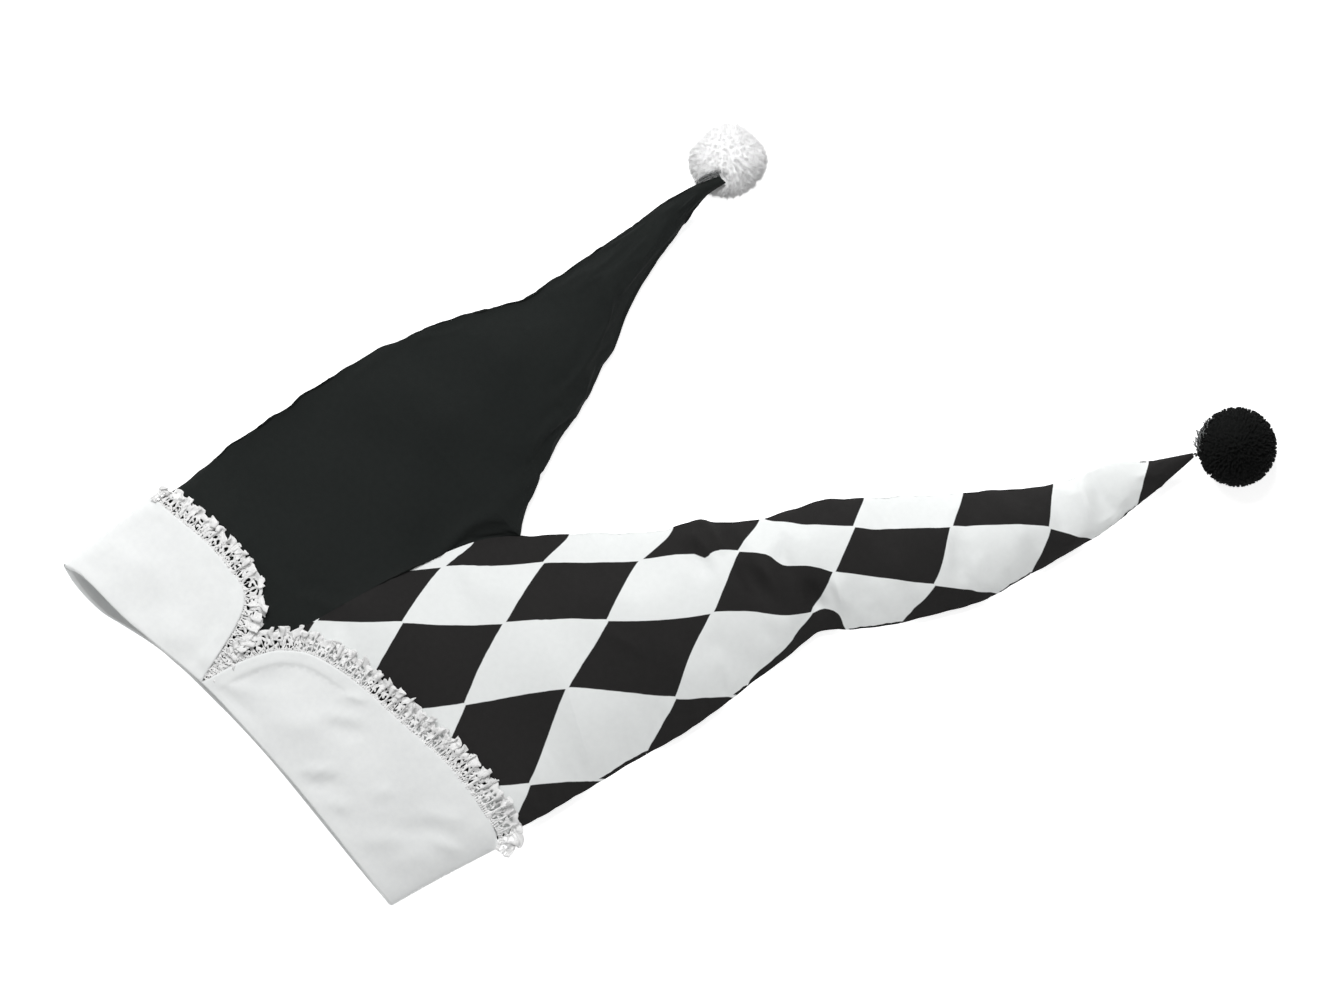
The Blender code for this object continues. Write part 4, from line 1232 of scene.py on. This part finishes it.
def trimmed_and_pressed(p):
    """The white pompom's places, from its centre, with its uneven trim and the horn's channel."""
    turn = (np.arctan2(p[:, 1], p[:, 0]) % (2 * math.pi)) / (math.pi / 4)
    k = turn.astype(int) % 8
    trim = np.array(WHITE_TRIM)
    trim = trim[k] + (trim[(k + 1) % 8] - trim[k]) * step_down(turn % 1)
    flatness = np.clip(np.linalg.norm(p[:, :2], axis=1) / WHITE_RADII[0], 0, 1)
    there = p * (1 + (trim - 1) * flatness)[:, None] + WHITE_POMPOM
    far, _ = distance_to(there[:, :2], HORN_END)
    pressed = np.minimum(there[:, 2], HORN_UNDERSIDE(there[:, 1]) - HORN_GAP)
    there[:, 2] += (pressed - there[:, 2]) * step_down((CHANNEL_REACH - far) / CHANNEL_SLOPE)
    return there - WHITE_POMPOM


def white_pompom(materials):
    yarn = materials["white_yarn"]
    core = ball_core("white_pompom_middle", WHITE_POMPOM, WHITE_RADII * 0.91, 2, yarn, 0.012,
                     trimmed_and_pressed, WHITE_GLOW)
    fluff = fur("white_pompom_fluff", WHITE_POMPOM, WHITE_RADII * 1.05, root=0.84, count=14200, thick=0.2,
                sides=3, bend=0.08, spread=0.08, seed=4, material=yarn, floor=0.3,
                press=trimmed_and_pressed, crowding=0.6, glow=WHITE_GLOW, tufts=700)
    riding(core, "white_pompom", "white_yarn", "white_pompom_knot")
    riding(fluff, "white_pompom", "white_yarn", "white_pompom")
    toward = (WHITE_TIP - WHITE_POMPOM) / np.linalg.norm(WHITE_TIP - WHITE_POMPOM)
    tie = tubes("white_pompom_tie_thread", [
        [WHITE_POMPOM + toward * 10, WHITE_POMPOM + toward * 17.5],
        # Three dark strands lie side by side from the horn's tip back along its side, where the fluff beside
        # the horn lies dark.
        [WHITE_TIP, (-42.0, 464.6, 43.4), (-44.4, 460.2, 41.6), (-46.0, 454.6, 37.0)],
        [WHITE_TIP, (-42.8, 465.4, 43.6), (-45.6, 460.8, 41.8), (-47.4, 455.2, 37.4)],
        [WHITE_TIP, (-42.4, 464.4, 42.4), (-45.0, 459.8, 40.4), (-46.9, 454.2, 36.2)],
    ], 0.7, materials["gloss_and_painted_glint"])
    riding(tie, "white_pompom", "thread", "white_pompom_tie")


def black_pompom(materials):
    yarn = materials["black_yarn"]
    core = ball_core("black_pompom_middle", BLACK_POMPOM, (21.5,) * 3, 6, yarn, 0.02)
    strands = fur("black_pompom_yarn", BLACK_POMPOM, (25.4,) * 3, root=0.55, count=3900, thick=0.62, sides=5,
                  bend=0.07, spread=0.11, seed=8, material=yarn, floor=0.6)
    # The loose strands' light grey is a painted glint on the black yarn; their low roughness gives real
    # gloss as well.
    glint_painted_strands = tubes("black_pompom_loose_strands", loose_loops(BLACK_POMPOM, 25.0, 3, 26), 0.33,
                  materials["gloss_and_painted_glint"], 5)
    riding(core, "black_pompom", "black_yarn", "black_pompom_knot")
    riding(strands, "black_pompom", "black_yarn", "black_pompom")
    riding(glint_painted_strands, "black_pompom", "black_yarn")
    toward = (BLACK_TIP - BLACK_POMPOM) / np.linalg.norm(BLACK_TIP - BLACK_POMPOM)
    side = np.cross(toward, [0, 0, 1.0])
    tie = tubes("black_pompom_tie_thread", [
        [BLACK_POMPOM + toward * 21, BLACK_POMPOM + toward * 25 + side * 0.5, BLACK_TIP],
        [BLACK_POMPOM + toward * 21, BLACK_POMPOM + toward * 24.6 - side * 0.7, BLACK_TIP],
    ], 0.35, materials["thread"])
    riding(tie, "black_pompom", "thread", "black_pompom_tie")


def tip_stitches(colour, place, material):
    """Five short stitches round a horn's tip."""
    lines = []
    for a in 2 * math.pi * np.arange(5) / 5:
        bend = a + np.array([0, 1.1, 2.2, 3.1])
        ring = np.stack([np.cos(bend), np.sin(bend) * math.cos(a), 0.5 * np.sin(bend)], axis=1)
        lines.append(place + TIP_RADIUS * ring)
    stitch = tubes(f"{colour}_tip_stitches", lines, 0.35, material)
    riding(stitch, f"{colour}_pompom_stitch", "thread", f"{colour}_tip_stitch")


# --- camera, light and floor


CAMERA_LENS = 400
SENSOR_WIDTH = 36
# How many metres the picture takes in from side to side at the table.
VIEW_WIDTH = 0.840


def stage_and_light():
    scene = bpy.context.scene
    scene.view_settings.view_transform = "Standard"
    scene.view_settings.look = "None"
    floor_mesh = bpy.data.meshes.new("floor")
    floor_mesh.from_pydata([(-6, -6, 0), (6, -6, 0), (6, 6, 0), (-6, 6, 0)], [], [(0, 1, 2, 3)])
    n = Nodes("floor", 0.9)
    n.shade("Emission Color", (1, 1, 1))
    n.shade("Emission Strength", 0.7)
    floor_mesh.materials.append(n.finish((0.93, 0.93, 0.93)))
    add_to_scene("floor", floor_mesh)

    world = bpy.data.worlds.new("studio")
    world.use_nodes = True
    colour, strength = world.node_tree.nodes["Background"].inputs[:2]
    colour.default_value = (1, 1, 1, 1)
    strength.default_value = 0.30
    scene.world = world

    for name, place, size, power in (
        ("key", (-1.25, 0.85, 2.4), 1.2, 67), ("fill", (1.8, -0.6, 2.4), 2.4, 5),
    ):
        light = bpy.data.lights.new(name, "AREA")
        light.size = size
        light.energy = power
        lamp = add_to_scene(name, light)
        lamp.location = place
        lamp.rotation_euler = Vector(place).to_track_quat("Z", "Y").to_euler()

    camera_data = bpy.data.cameras.new("camera")
    camera_data.lens = CAMERA_LENS
    camera_data.sensor_width = SENSOR_WIDTH
    camera_data.clip_end = 50
    camera = add_to_scene("camera", camera_data)
    right, up = Vector((0.692, 0.722, 0.0)), Vector((-0.722, 0.692, 0.0))
    matrix = Matrix((right, up, right.cross(up))).transposed().to_4x4()
    matrix.translation = Vector((-0.0079, -0.0010, VIEW_WIDTH * CAMERA_LENS / SENSOR_WIDTH))
    camera.matrix_world = matrix
    scene.camera = camera


# --- the whole hat


# How far each side of its middle the root fold's and the bend fold's soft bend reaches.
FOLD_REACH = (23.5, 21.5)


def half_of_hat(colour, material, up, root, bend, **shape):
    """One half's two pieces, their placing baked into their meshes, and the surface under the lace."""
    pieces, skin = cloth_half(colour, up=up, material=material, **shape)
    bodies = ("hat", f"{colour}_horn_lower", f"{colour}_horn_upper")
    for piece, a, b, at, reach in zip(pieces, bodies, bodies[1:], (root, bend), FOLD_REACH):
        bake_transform(piece)
    for piece, parts in zip(pieces, (("crown", "root_fold", "horn_lower"), ("bend_fold", "horn_upper"))):
        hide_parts(*(f"{colour}_{part}_{layer}" for part in parts for layer in ("front", "back")))
    return pieces, skin


def build():
    materials = make_materials()
    stage_and_light()
    black, black_skin = half_of_hat(
        "black", materials["black_cloth"], BLACK_UP, root=243.0, bend=362.0, side=BLACK_SIDE,
        outer=BLACK_OUTER, inner=BLACK_INNER, heights=BLACK_HEIGHTS, first=219.0, last=465.5,
        creases=BLACK_CREASES, seed=11)
    harlequin, harlequin_skin = half_of_hat(
        "harlequin", materials["harlequin_cloth"], HARLEQUIN_UP, root=235.5, bend=372.0,
        side=HARLEQUIN_SIDE, outer=HARLEQUIN_OUTER, inner=HARLEQUIN_INNER, heights=HARLEQUIN_HEIGHTS,
        first=211.8, last=631.4, creases=HARLEQUIN_CREASES, seed=23)
    cuffs = cuff(materials["white_cloth"])
    laces = lace(materials["lace"], black_skin, harlequin_skin)
    for side in ("left", "right"):
        parts = ("cuff", "cuff_facing", "cuff_corner", "cuff_facing_corner")
        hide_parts(*(f"{side}_{part}" for part in parts))
        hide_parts(f"{side}_lace", f"{side}_lace_corner")
    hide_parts("back_cuff", "head_band_front")
    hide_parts("back_cuff_facing", "head_band_back")
    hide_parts("back_lace")
    white_pompom(materials)
    black_pompom(materials)
    tip_stitches("white", WHITE_TIP, materials["thread"])
    tip_stitches("black", BLACK_TIP, materials["thread"])


build()
